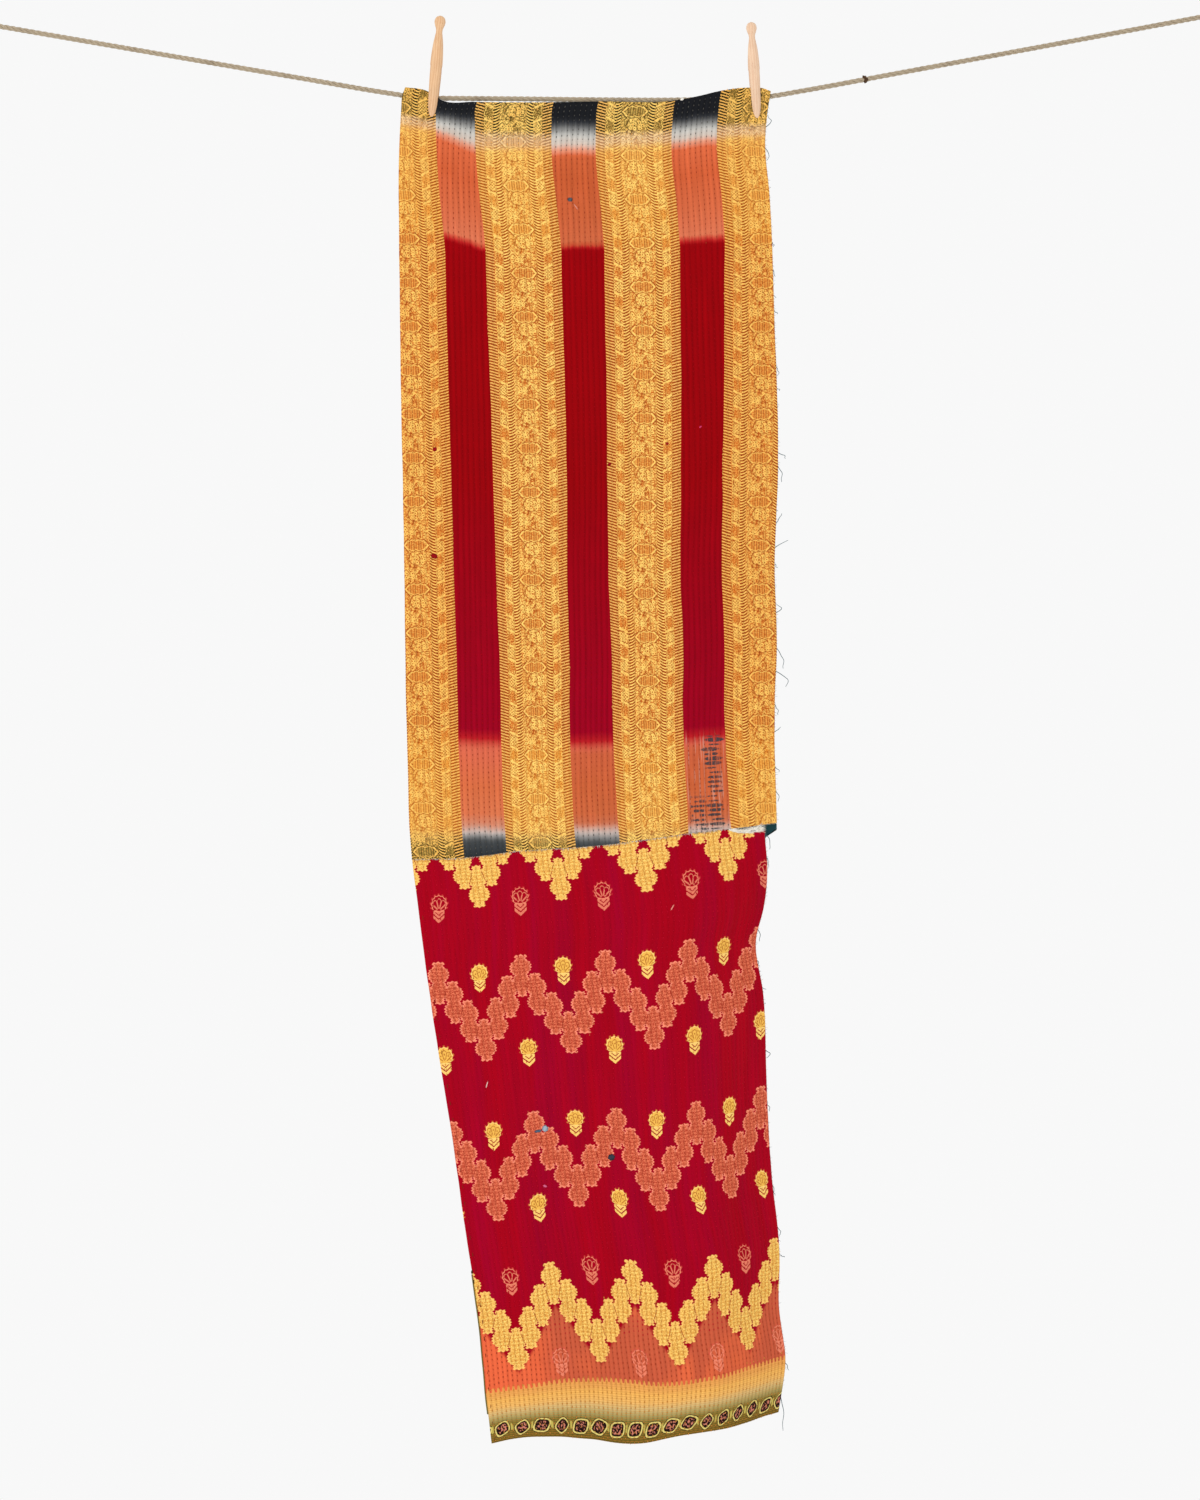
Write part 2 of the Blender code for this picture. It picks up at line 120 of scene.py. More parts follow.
HIDDEN_EDGE = (1.0, 1.02)  # heights over which the lower panel's quilting begins
CORNER_STEP = 1.0135  # the backing's edge steps in below this height

# The rope.
ROPE_RADIUS = 2.8 * MM
ROPE_TURN = 20.5 * MM
ROPE_POINTS = (
    (0.0473, -0.0081), (0.1522, -0.0262), (0.2572, -0.0443), (0.3623, -0.0623),
    (0.4567, -0.0784), (0.4830, -0.0822), (0.4960, -0.0834), (0.5124, -0.0836),
    (0.5975, -0.0843), (0.6773, -0.0852), (0.7560, -0.0854), (0.8243, -0.0838),
    (0.8421, -0.0829), (0.8568, -0.0815), (0.8872, -0.0764), (0.9922, -0.0570),
    (1.0973, -0.0376), (1.2023, -0.0182), (1.3073, 0.0014),
)
LEFT_EYE = (0.0, 0.0)
RIGHT_EYE = (1.3545, 0.0102)
EYE_RADIUS = 13.0 * MM
KNOT_AT = 20.0 * MM
KNOT_HALF = 9.0 * MM
WHIPPING_TURNS = 5.5
STRAND_SIDES = 8

# A dolly peg, in millimetres: above its tip, radius.
PEG_PROFILE = (
    (110.0, 0.0), (109.6, 1.6), (108.8, 3.2), (106.0, 5.3), (103.0, 5.8), (99.5, 5.0),
    (96.0, 3.7), (93.0, 3.4), (89.0, 3.9), (83.0, 4.9), (74.0, 5.8), (64.0, 6.4),
    (50.0, 6.4), (35.0, 6.0), (22.0, 5.7), (12.0, 5.0), (6.0, 3.9), (2.0, 2.2), (0.6, 1.2),
    (0.0, 0.0),
)
SLOT_WIDTH = 5.0 * MM
SLOT_LENGTH = 58.0 * MM
CLAMP_LENGTH = 38.0 * MM
CUTTER_LENGTH = 20.0 * MM
PEG_SIDES = 48
#    name, tip x, tip z, lean in degrees to the right, share of the full size
PEGS = (
    ("peg_left", 0.5009, -0.1068, 4.95, 1.0),
    ("peg_right", 0.8426, -0.1082, -3.50, 0.95),
)
REAR_Y = -(ROPE_RADIUS + GAP)
FRONT_LIFT = LAYER + GAP
STACK_FRONT_Y = REAR_Y - FRONT_LIFT - LAYER - 0.45 * MM
PEG_MIDDLE_Y = (ROPE_RADIUS + GAP + STACK_FRONT_Y - GAP) / 2

# The woven stripes of the upper panel.
STRIPE_PERIOD = 123.9
GOLD_WIDTH = 78.75
FIRST_STRIPE = -26.25  # where the first gold band would start; the edge of the cloth cuts it
TICK = 3.06  # pitch of the slanting ticks
#    row height, then shares of the width at the stripes' boundaries, ends included
STRIPE_SHARES = (
    (0.00, (0.0, 0.090, 0.196, 0.406, 0.529, 0.738, 0.864, 1.0)),
    (0.20, (0.0, 0.124, 0.232, 0.435, 0.551, 0.754, 0.873, 1.0)),
    (0.50, (0.0, 0.130, 0.241, 0.437, 0.545, 0.741, 0.852, 1.0)),
    (0.80, (0.0, 0.140, 0.256, 0.442, 0.558, 0.749, 0.860, 1.0)),
    (1.00, (0.0, 0.143, 0.258, 0.448, 0.569, 0.758, 0.874, 1.0)),
)
#    row height, pattern position at the left and the right edge
STRIPE_ENDS = (
    (0.00, 17.9, 398.0), (0.20, 4.2, 394.8), (0.50, 1.0, 404.3), (0.80, -2.1, 400.0),
    (1.00, -2.1, 393.8),
)
STRIPE_BOUNDS = (52.5, 97.7, 176.4, 221.6, 300.3, 345.5)
# Where the four gold bands start their repeat.
BAND_PHASE = ((0.0, -9.8), (52.0, -9.8), (98.0, 0.0), (176.0, 0.0), (222.0, -14.0),
              (300.0, -14.0), (346.0, -9.8), (400.0, -9.8))

# Dye lines, in millimetres below the rope, at shares of the width.
DYE_SHARES = (0.0, 0.10, 0.22, 0.40, 0.53, 0.73, 0.86, 1.0)
DYE_LINES = (
    #  level, where it really lies
    (17.0, (8.0, 16.0, 23.0, 26.0, 26.0, 24.0, 18.0, 18.0)),
    (45.0, (28.0, 35.0, 54.0, 54.0, 53.5, 49.0, 43.0, 41.0)),
    (150.0, (136.0, 141.0, 158.0, 156.0, 155.0, 151.0, 147.0, 148.0)),
    (670.0, (668.0, 670.0, 673.0, 675.0, 675.0, 671.0, 668.0, 668.0)),
    (766.0, (768.0, 768.0, 768.0, 768.0, 768.0, 767.0, 764.0, 760.0)),
    (783.0, (777.0, 777.0, 777.0, 778.0, 779.0, 781.0, 779.0, 776.0)),
)

# The lower panel's repeat.
PERIOD = 89.0  # across
LOWER_DROP = 617.0  # from the seam to the hem
# Shares of the hanging width where the repeats 0 to 4 start, at shares of the drop.
PERIOD_AT = (
    (0.07, (0.063, 0.293, 0.526, 0.780, 0.992)), (0.21, (0.032, 0.281, 0.541, 0.791, 1.003)),
    (0.335, (0.017, 0.272, 0.538, 0.778, 0.985)), (0.475, (0.003, 0.260, 0.521, 0.771, 0.977)),
    (0.60, (-0.024, 0.241, 0.507, 0.757, 0.963)), (0.73, (-0.010, 0.251, 0.520, 0.782, 0.985)),
    (0.85, (-0.025, 0.257, 0.522, 0.776, 0.985)),
)

# Where the border's teeth start, in millimetres below the rope, at shares of the width.
TEETH = (
    (0.0, 1356.0), (0.14, 1349.0), (0.23, 1344.5), (0.43, 1346.0), (0.54, 1349.0), (0.70, 1344.0),
    (0.83, 1337.5), (1.0, 1331.0),
)
TEETH_DROP = 557.5
# How far the repeat is drawn up: at drops, and the share of it at shares of the width.
DRAWN_UP = (
    ((200.0, 260.0, 300.0, 400.0, 480.0, 540.0), (0.0, 3.0, 6.0, 5.5, 2.0, 0.0)),
    ((0.0, 0.12, 0.20, 0.31, 0.45, 0.58, 0.80), (-0.2, -0.35, -0.2, 0.8, 1.0, 0.1, 0.0)),
)

# Steps of a woven edge from thread to thread, and the drop of the gold band's rosettes.
THREAD_STEP = 0.6
WEFT_STEP = 0.7
THREAD_PITCH = 0.6
ROSETTE_DROP = 13.2
MIDDLE_STRIPE = 199.0
DYE_FROM, DYE_TO = -20.0, 820.0  # what the dye ramps span

VIEW_MIDDLE = (0.0075, 0.0160)  # how far it lies right of and above the backing's middle
FLOOR_DROP = 0.30  # from the cloth's lowest point
SEED = 7


def smooth(table, at):
    """Reads a smooth curve through a table's points, with level ends held."""
    x, y = np.array(table, float).T
    slope = np.gradient(y, x)
    at = np.clip(at, x[0], x[-1])
    i = np.clip(np.searchsorted(x, at, side="right") - 1, 0, len(x) - 2)
    width = x[i + 1] - x[i]
    t = (at - x[i]) / width
    rise = (2 * t**3 - 3 * t**2 + 1) * y[i] + (3 * t**2 - 2 * t**3) * y[i + 1]
    return rise + width * ((t**3 - 2 * t**2 + t) * slope[i] + (t**3 - t**2) * slope[i + 1])


def ease(low, high, at):
    """0 below low, 1 above high, smooth between."""
    t = np.clip((np.asarray(at, float) - low) / (high - low), 0.0, 1.0)
    return t * t * (3.0 - 2.0 * t)


def unit(vectors):
    """Vectors made one long, each along the last axis."""
    return vectors / np.linalg.norm(vectors, axis=-1, keepdims=True)


def linked(made):
    """Puts an object in the scene."""
    bpy.context.scene.collection.objects.link(made)
    return made


def outward_object(mesh, name):
    """An object from a bmesh, its faces turned outwards."""
    bmesh.ops.recalc_face_normals(mesh, faces=mesh.faces)
    data = bpy.data.meshes.new(name)
    mesh.to_mesh(data)
    mesh.free()
    return bpy.data.objects.new(name, data)


def lay_map(mesh, name, values):
    """Gives a mesh a map with a value for every corner of its faces."""
    layer = mesh.uv_layers.new(name=name, do_init=False)
    layer.data.foreach_set("uv", np.asarray(values, np.float32).ravel())


def noted(mesh, name, kind, values):
    """Gives a mesh an attribute with a value for every point."""
    key = {"FLOAT": "value", "FLOAT_VECTOR": "vector", "FLOAT_COLOR": "color"}[kind]
    layer = mesh.attributes.new(name, kind, "POINT")
    layer.data.foreach_set(key, np.asarray(values, np.float32).ravel())


def measured(points):
    """How far along a line each of its points lies."""
    return np.concatenate([[0.0], np.cumsum(np.linalg.norm(np.diff(points, axis=0), axis=1))])


def applied(made):
    """Turns an object with modifiers into a plain mesh."""
    bpy.context.view_layer.update()
    seen = made.evaluated_get(bpy.context.evaluated_depsgraph_get())
    plain = bpy.data.meshes.new_from_object(seen)
    made.modifiers.clear()
    made.data = plain
    return made


# ------------------------ the cloth's surface


def fold_angles(heights, shares):
    """How far the cloth is turned away over a grid of rows, in radians."""
    spread = np.linspace(-0.05, 0.05, 9)
    across = [np.mean([np.interp(shares + d, FOLD_AT, row[1]) for d in spread], axis=0) for row in FOLDS]
    levels = [row[0] for row in FOLDS]
    columns = [np.mean([np.interp(heights[:, c] + d, levels, turn) for d in spread], axis=0)
               for c, turn in enumerate(np.array(across).T)]
    return np.radians(np.stack(columns, axis=1))


def row_down(heights, shares):
    """How far below the rope each point of the grid lies, in millimetres."""
    top, seam, hem = (smooth(edge, shares)[None, :] for edge in (TOP_EDGE, SEAM, HEM))
    upper = top + (seam - top) * np.minimum(heights, 1.0)
    return upper + (hem - seam) * np.maximum(heights - 1.0, 0.0)


def ripple(heights, shares):
    """The quilt's soft unevenness, in millimetres towards the front."""
    across, down = shares[None, :] * CLOTH_WIDTH, heights * 700.0
    waves = ((61, 140, 0.3), (97, 83, 1.9), (38, 210, 4.4), (45, 57, 2.6), (150, 46, 5.2))
    total = sum(np.sin(across / a * 2 * math.pi + down / b * 2 * math.pi + c) for a, b, c in waves)
    return 0.28 * total * ease(0.04, 0.16, heights)


def cloth_base(heights, shares, right_edge):
    """Points of the cloth's rear face over a grid, in metres. heights is (rows, columns)."""
    down = row_down(heights, shares)
    angles = fold_angles(heights, shares)
    middle = (angles[:, 1:] + angles[:, :-1]) / 2
    nothing = np.zeros((len(heights), 1))
    across = np.concatenate([nothing, np.cumsum(np.cos(middle), axis=1)], axis=1)
    back = np.concatenate([nothing, np.cumsum(np.sin(middle), axis=1)], axis=1)
    left = smooth(LEFT_EDGE, down[:, 0])[:, None]
    right = smooth(right_edge, down[:, -1])[:, None]
    scale = (right - left) / across[:, -1:]
    x = left + scale * across
    y = scale * (back - back.mean(axis=1, keepdims=True)) - ripple(heights, shares)
    return np.stack([CLOTH_X + x * MM, REAR_Y + y * MM, CLOTH_Z - down * MM], axis=2)


def grid_normals(points):
    """Unit normals of a grid of points, towards the front."""
    normals = np.cross(np.gradient(points, axis=1), np.gradient(points, axis=0))
    return unit(normals * np.where(normals[..., 1:2] > 0, -1.0, 1.0))


def tucked(heights, shares):
    """Heights over the lower panel, which starts at its tucked or showing edge."""
    start = (TUCK + (SHOWING_EDGE - TUCK) * ease(*TUCK_ENDS, shares))[None, :]
    moved = start + (heights - TUCK) * (LOWER_START - start) / (LOWER_START - TUCK)
    return np.where(heights < LOWER_START, moved, heights)


def quilting(rows, columns):
    """How the quilt swells between its stitches, from 0 in the stitches to 1 on the ribs.

    rows counts stitches down the cloth and columns counts stitch rows across it.
    """
    rib = np.abs(np.sin(math.pi * columns))[None, :] ** 0.8
    pull = 0.5 + 0.5 * np.cos(2 * math.pi * (rows[:, None] - 0.5))
    return rib * (0.86 + 0.14 * pull) - 0.22 * (1 - rib) * pull


class Layer:
    """One layer of the quilt: its grid, its faces' lift and its pattern coordinates."""

    def __init__(self, name, first, last, stitches, right_edge, lift, tuck=False):
        self.name = name
        self.stitches = stitches
        self.right_edge = right_edge
        self.first = first
        self.last = last
        self.lift = lift
        self.tuck = tuck
        self.behind = name == "backing"

    def heights(self, rows):
        return np.linspace(self.first, self.last, rows)

    def over(self, heights, shares):
        """The heights of a grid of points at these rows and shares."""
        over = np.repeat(np.asarray(heights)[:, None], len(shares), axis=1)
        return tucked(over, shares) if self.tuck else over

    def raised(self, heights, shares):
        """How far the layer's rear face stands off the backing's rear face."""
        lift = np.full(heights.shape, self.lift)
        if self.name == "striped_panel":
            over = 1.0 - ease(*LAP_ENDS, shares)[None, :]
            lift = lift + (LAYER + GAP) * ease(*LAP_RISE, heights) * over
        return lift

    def face(self, heights, shares, out):
        """The layer's surface and its normals, out from its rear face by a grid or a number."""
        over = self.over(heights, shares)
        base = cloth_base(over, shares, self.right_edge)
        if self.behind:
            wide = cloth_base(over, shares, RIGHT_EDGE)
            base = np.where(over[..., None] <= CORNER_STEP, wide, base)
        normals = grid_normals(base)
        return base + normals * (self.raised(over, shares) + out)[..., None], normals


STRIPED = Layer("striped_panel", 0.0, 1.0, 153, RIGHT_EDGE, FRONT_LIFT)
ZIGZAG = Layer("zigzag_panel", TUCK, 2.0, 121, LOWER_RIGHT_EDGE, FRONT_LIFT, tuck=True)
BACKING = Layer("backing", 0.0, 2.0, 234, LOWER_RIGHT_EDGE, 0.0)


def striped_pattern(heights, shares):
    """Where a point of the upper panel lies in the stripes and in the dye, in millimetres."""
    levels = [row[0] for row in STRIPE_SHARES]
    bounds = np.array([row[1] for row in STRIPE_SHARES], float)
    ends = np.array(STRIPE_ENDS, float)
    across = np.empty(heights.shape)
    dye = np.empty(heights.shape)
    down = row_down(heights, shares)
    for i, height in enumerate(heights[:, 0]):
        shares_here = [np.interp(height, levels, column) for column in bounds.T]
        left, right = (np.interp(height, ends[:, 0], ends[:, side]) for side in (1, 2))
        across[i] = np.interp(shares, shares_here, (left,) + STRIPE_BOUNDS + (right,))
    for j, share in enumerate(shares):
        real = [float(np.interp(share, DYE_SHARES, line)) for level, line in DYE_LINES]
        levels = [level for level, line in DYE_LINES]
        dye[:, j] = np.interp(down[:, j], [real[0] - 40] + real + [real[-1] + 40],
                              [levels[0] - 40] + levels + [levels[-1] + 40])
    phase, offset = np.array(BAND_PHASE).T
    motif = down + np.interp(across, phase, offset)
    return np.stack([across, motif], axis=2), np.stack([across, dye], axis=2)


def zigzag_pattern(heights, shares):
    """Where a point of the lower panel lies in its repeat: periods across, millimetres down."""
    down = heights - 1.0
    x = cloth_base(heights, shares, LOWER_RIGHT_EDGE)[..., 0]
    hung = (x - x[:, :1]) / (x[:, -1:] - x[:, :1])
    levels = [row[0] for row in PERIOD_AT]
    starts = [np.interp(down, levels, column) for column in np.array([row[1] for row in PERIOD_AT]).T]
    periods = (hung - starts[0]) / (starts[1] - starts[0])
    for k in (1, 2, 3):
        after = k + (hung - starts[k]) / (starts[k + 1] - starts[k])
        periods = np.where(hung > starts[k], after, periods)
    seam, hem, teeth = (smooth(edge, shares)[None, :] for edge in (SEAM, HEM, TEETH))
    lies = row_down(heights, shares)
    drop = np.where(lies < teeth, (lies - seam) / (teeth - seam) * TEETH_DROP,
                    TEETH_DROP + (lies - teeth) / (hem - teeth) * (LOWER_DROP - TEETH_DROP))
    drop = drop + np.interp(drop, *DRAWN_UP[0]) * np.interp(shares, *DRAWN_UP[1])[None, :]
    rows = np.repeat(shares[None, :] * RIBS, len(heights), axis=0)
    return np.stack([periods, drop], axis=2), np.stack([rows, drop], axis=2)


def plain_pattern(heights, shares):
    """Millimetres across and down the backing."""
    down = row_down(heights, shares)
    grid = np.stack([np.repeat(shares[None, :] * CLOTH_WIDTH, len(heights), axis=0), down], axis=2)
    return grid, grid


def closed_sheet(name, front, rear, coordinates, steps):
    """A closed sheet between a front and a rear grid, one of which skips some of the other's points.

    coordinates are the two pattern grids over the finer face. steps gives how many points
    one step of the coarser grid spans, down and across. Slot 1 holds the cut rims.
    """
    fine_front = front.size >= rear.size
    fine, coarse = (front, rear) if fine_front else (rear, front)
    count = fine[..., 0].size
    fine_at = np.arange(count).reshape(fine.shape[:2])
    coarse_at = count + np.arange(coarse[..., 0].size).reshape(coarse.shape[:2])
    faces = []
    for at, forwards in ((fine_at, fine_front), (coarse_at, not fine_front)):
        corners = [at[:-1, :-1], at[1:, :-1], at[1:, 1:], at[:-1, 1:]]
        faces += np.stack(corners if forwards else corners[::-1], axis=2).reshape(-1, 4).tolist()
    plain = len(faces)
    down_step, across_step = steps
    strips = []
    for strip, (line, step, forwards) in enumerate((
            (np.s_[0], across_step, fine_front), (np.s_[-1], across_step, not fine_front),
            (np.s_[:, 0], down_step, not fine_front), (np.s_[:, -1], down_step, fine_front))):
        edge, few = fine_at[line].tolist(), coarse_at[line].tolist()
        for k in range(len(few) - 1):
            rim = edge[k * step:(k + 1) * step + 1] + [few[k + 1], few[k]]
            faces.append(rim if forwards else rim[::-1])
            strips.append(strip)
    points = np.concatenate([fine.reshape(-1, 3), coarse.reshape(-1, 3)])
    mesh = bpy.data.meshes.new(name)
    mesh.from_pydata(points.tolist(), [], faces)

    loops = np.empty(len(mesh.loops), dtype=np.int32)
    mesh.loops.foreach_get("vertex_index", loops)
    for label, grid in zip(("pattern", "dye"), coordinates):
        few = grid[::down_step, ::across_step]
        lay_map(mesh, label, np.concatenate([grid.reshape(-1, 2), few.reshape(-1, 2)])[loops])
    add_bake_map(mesh, loops, fine.shape[:2], coarse.shape[:2], strips, plain)
    mesh.polygons.foreach_set("use_smooth", [True] * len(faces))
    mesh.polygons.foreach_set("material_index", (np.arange(len(faces)) >= plain).astype(np.int32))
    rim_edges(mesh, plain)
    return linked(bpy.data.objects.new(name, mesh))


def rim_edges(mesh, plain):
    """Marks the edges round the rims sharp, so that the cut keeps its corner."""
    mesh.update(calc_edges=True)
    edge_of = {edge.key: edge.index for edge in mesh.edges}
    sharp = np.zeros(len(mesh.edges), dtype=bool)
    for polygon in mesh.polygons[plain:]:
        for key in polygon.edge_keys:
            sharp[edge_of[key]] = True
    mark = mesh.attributes.new("sharp_edge", "BOOLEAN", "EDGE")
    mark.data.foreach_set("value", sharp)


def add_bake_map(mesh, loops, fine, coarse, strips, plain):
    """A map with no overlaps: the fine face, the coarse face beside it and the rims below."""
    spreads = []
    for (rows, columns), left, right in ((fine, 0.0, 0.88), (coarse, 0.90, 1.0)):
        across, down = np.meshgrid(np.linspace(left, right, columns), np.linspace(1.0, 0.04, rows))
        spreads.append(np.stack([across, down], axis=2).reshape(-1, 2))
    bake = np.concatenate(spreads)[loops]
    count = fine[0] * fine[1]
    for strip, polygon in zip(strips, mesh.polygons[plain:]):
        span = slice(polygon.loop_start, polygon.loop_start + polygon.loop_total)
        on_fine = loops[span] < count
        place = np.where(on_fine, loops[span], loops[span] - count)
        rows, columns = (np.where(on_fine, fine[side], coarse[side]) for side in (0, 1))
        along = place % columns / (columns - 1) if strip < 2 else place // columns / (rows - 1)
        bake[span] = np.stack([along, 0.004 + strip * 0.009 + 0.006 * on_fine], axis=1)
    lay_map(mesh, "OFBake", bake)


# ------------------------ shader arithmetic


def srgb(red, green, blue):
    """A shade as a screen gives it, 0 to 255, in linear light."""
    def light(c):
        c /= 255.0
        return c / 12.92 if c <= 0.04045 else ((c + 0.055) / 1.055) ** 2.4
    return (light(red), light(green), light(blue), 1.0)


def feed(value, socket):
    """Links a value to a socket, or sets the socket to a plain number, place or colour."""
    if isinstance(value, Value):
        value = value.socket
    if isinstance(value, bpy.types.NodeSocket):
        socket.id_data.links.new(value, socket)
    else:
        socket.default_value = value


def add_node(tree, kind, inputs=(), **settings):
    """Adds a node, sets it and feeds its inputs, which go by name or number."""
    node = tree.nodes.new(kind)
    for key, value in settings.items():
        setattr(node, key, value)
    for key, value in dict(inputs).items():
        feed(value, node.inputs[key])
    return node


class Value:
    """A number that changes over the surface. Reckoning with it adds Math nodes."""

    def __init__(self, socket):
        self.socket = socket
        self.tree = socket.id_data

    def maths(self, operation, *others, clamp=False):
        node = add_node(self.tree, "ShaderNodeMath", enumerate((self,) + others),
                        operation=operation, use_clamp=clamp)
        return Value(node.outputs[0])

    def __add__(self, other):
        return self.maths("ADD", other)

    __radd__ = __add__

    def __sub__(self, other):
        return self.maths("SUBTRACT", other)

    def __rsub__(self, other):
        return self.maths("MULTIPLY_ADD", -1.0, other)

    def __mul__(self, other):
        return self.maths("MULTIPLY", other)

    __rmul__ = __mul__

    def __truediv__(self, other):
        return self.maths("DIVIDE", other)

    def __abs__(self):
        return self.maths("ABSOLUTE")

    def floor(self):
        return self.maths("FLOOR")

    def least(self, other):
        return self.maths("MINIMUM", other)

    def most(self, other):
        return self.maths("MAXIMUM", other)

    def repeat(self, period):
        """The place in a repeat, from 0 to period."""
        return self.maths("FLOORED_MODULO", period)

    def past(self, limit):
        """1 beyond a limit and 0 before it."""
        return self.maths("GREATER_THAN", limit)

    def centred(self, period):
        """The place in a repeat, measured both ways from its middle."""
        return (self + period / 2).repeat(period) - period / 2

    def wave(self, period, shift=0.0):
        """A wave from -1 to 1."""
        return (self * (2 * math.pi / period) + shift).maths("SINE")

    def over(self, low, high):
        """0 below low and 1 above high, smooth between; the other way round if low is higher."""
        inputs = {"Value": self, "From Min": low, "From Max": high}
        node = add_node(self.tree, "ShaderNodeMapRange", inputs, interpolation_type="SMOOTHSTEP")
        return Value(node.outputs["Result"])

    def near(self, place, half, soft):
        """1 within half of a place and 0 beyond, with an edge that is soft wide."""
        return abs(self - place).over(half + soft / 2, half - soft / 2)

    def curve(self, points, low, high):
        """Reads a drawn curve of points whose first numbers run from low to high."""
        node = add_node(self.tree, "ShaderNodeFloatCurve", {"Value": (self - low) * (1.0 / (high - low))})
        line = node.mapping.curves[0]
        top = max(y for x, y in points)
        for k, (x, y) in enumerate(points):
            place = ((x - low) / (high - low), y / top)
            if k < 2:
                line.points[k].location = place
            else:
                line.points.new(*place)
        node.mapping.update()
        return Value(node.outputs["Value"]) * top


def blended(share, first, second):
    """A number: first where share is 0 and second where it is 1."""
    return first + (second - first) * share


def colour_mix(share, first, second):
    """A colour: first where share is 0 and second where it is 1."""
    inputs = {0: share, 6: first, 7: second}
    return add_node(share.tree, "ShaderNodeMix", inputs, data_type="RGBA").outputs[2]


def coated(colour, *coats):
    """A colour under several coats, each a share and the coat's colour."""
    for share, coat in coats:
        colour = colour_mix(share, colour, coat)
    return colour


def colour_times(colour, value):
    """A colour darkened or lightened by a number."""
    inputs = {0: colour, "Scale": value}
    return add_node(value.tree, "ShaderNodeVectorMath", inputs, operation="SCALE").outputs[0]


def ramp(value, stops, low=DYE_FROM, high=DYE_TO):
    """Colours at places from low to high along a value. A stop is its place and its screen shade."""
    node = add_node(value.tree, "ShaderNodeValToRGB", {0: (value - low) * (1.0 / (high - low))})
    elements = node.color_ramp.elements
    for k, (place, *shade) in enumerate(stops):
        at = (place - low) / (high - low)
        element = elements[k] if k < 2 else elements.new(at)
        element.position = at
        element.color = srgb(*shade)
    return node.outputs[0]


def point(x, y, z=0.0):
    """A place from three numbers."""
    return add_node(x.tree, "ShaderNodeCombineXYZ", enumerate((x, y, z))).outputs[0]


def apart(place):
    """The three numbers of a place."""
    node = add_node(place.id_data, "ShaderNodeSeparateXYZ", {0: place})
    return [Value(socket) for socket in node.outputs]


def distance(place, x, y):
    """How far a place lies from a dot."""
    inputs = {0: place, 1: (x, y, 0.0)}
    node = add_node(place.id_data, "ShaderNodeVectorMath", inputs, operation="DISTANCE")
    return Value(node.outputs["Value"])


def nearest(place, dots):
    """The distance to the nearest of several dots."""
    found = distance(place, *dots[0])
    for dot in dots[1:]:
        found = found.least(distance(place, *dot))
    return found


def edges(x, y, z):
    """The distance from the edges between cells of uneven shape and about unit size."""
    inputs = {"Vector": point(x, y, z), "Scale": 1.0, "Randomness": 0.95}
    node = add_node(x.tree, "ShaderNodeTexVoronoi", inputs, feature="DISTANCE_TO_EDGE")
    return Value(node.outputs["Distance"])


def chance(x, y):
    """A number from 0 to 1 for each whole pair of numbers."""
    node = add_node(x.tree, "ShaderNodeTexWhiteNoise", {"Vector": point(x, y)}, noise_dimensions="2D")
    return Value(node.outputs["Value"])


def noise_at(place, scale, detail, roughness=0.5):
    """Noise from 0 to 1 at a place."""
    inputs = {"Vector": place, "Scale": scale, "Detail": detail, "Roughness": roughness}
    return Value(add_node(place.id_data, "ShaderNodeTexNoise", inputs).outputs[0])


def noise(x, y, z=0.0, detail=2.0, roughness=0.5):
    """Noise from 0 to 1 at a place of three numbers."""
    return noise_at(point(x, y, z), 1.0, detail, roughness)


def surface_map(tree, name):
    """The two coordinates of one of the piece's maps."""
    return apart(add_node(tree, "ShaderNodeUVMap", uv_map=name).outputs[0])[:2]


def attribute(tree, name, output):
    """What a named attribute of the piece gives."""
    return add_node(tree, "ShaderNodeAttribute", attribute_name=name).outputs[output]


def new_group(name, inputs, outputs):
    """An empty shader group of numbers. Gives its inputs and its output node."""
    tree = bpy.data.node_groups.new(name, "ShaderNodeTree")
    for label, value in inputs.items():
        socket = tree.interface.new_socket(label, in_out="INPUT", socket_type="NodeSocketFloat")
        socket.default_value = value
    for label in outputs:
        tree.interface.new_socket(label, in_out="OUTPUT", socket_type="NodeSocketFloat")
    start = tree.nodes.new("NodeGroupInput")
    return [Value(start.outputs[label]) for label in inputs], tree.nodes.new("NodeGroupOutput")


def put_out(end, *values):
    """Ends a group: its outputs in order."""
    for value, socket in zip(values, end.inputs):
        feed(value, socket)


def use_group(name, *values):
    """Places a group in a material and gives its outputs in order."""
    node = add_node(values[0].tree, "ShaderNodeGroup", node_tree=bpy.data.node_groups[name])
    for value, socket in zip(values, node.inputs):
        feed(value, socket)
    return [Value(socket) for socket in node.outputs]


def new_material(name):
    """A new material's tree and shader."""
    material = bpy.data.materials.new(name)
    material.use_nodes = True
    return material.node_tree, material.node_tree.nodes["Principled BSDF"]


def lay_on(shader, colour, roughness, height, stands_mm, strength=1.0):
    """Gives a shader its colour, roughness and relief, which stands stands_mm up for a height of 1."""
    inputs = {"Strength": strength, "Distance": stands_mm * MM, "Height": height}
    relief = add_node(shader.id_data, "ShaderNodeBump", inputs)
    feed(colour, shader.inputs["Base Color"])
    feed(roughness, shader.inputs["Roughness"])
    feed(relief.outputs[0], shader.inputs["Normal"])


# ------------------------ pattern groups


OVER_CLOTH = {"Across": 0.0, "Down": 0.0}


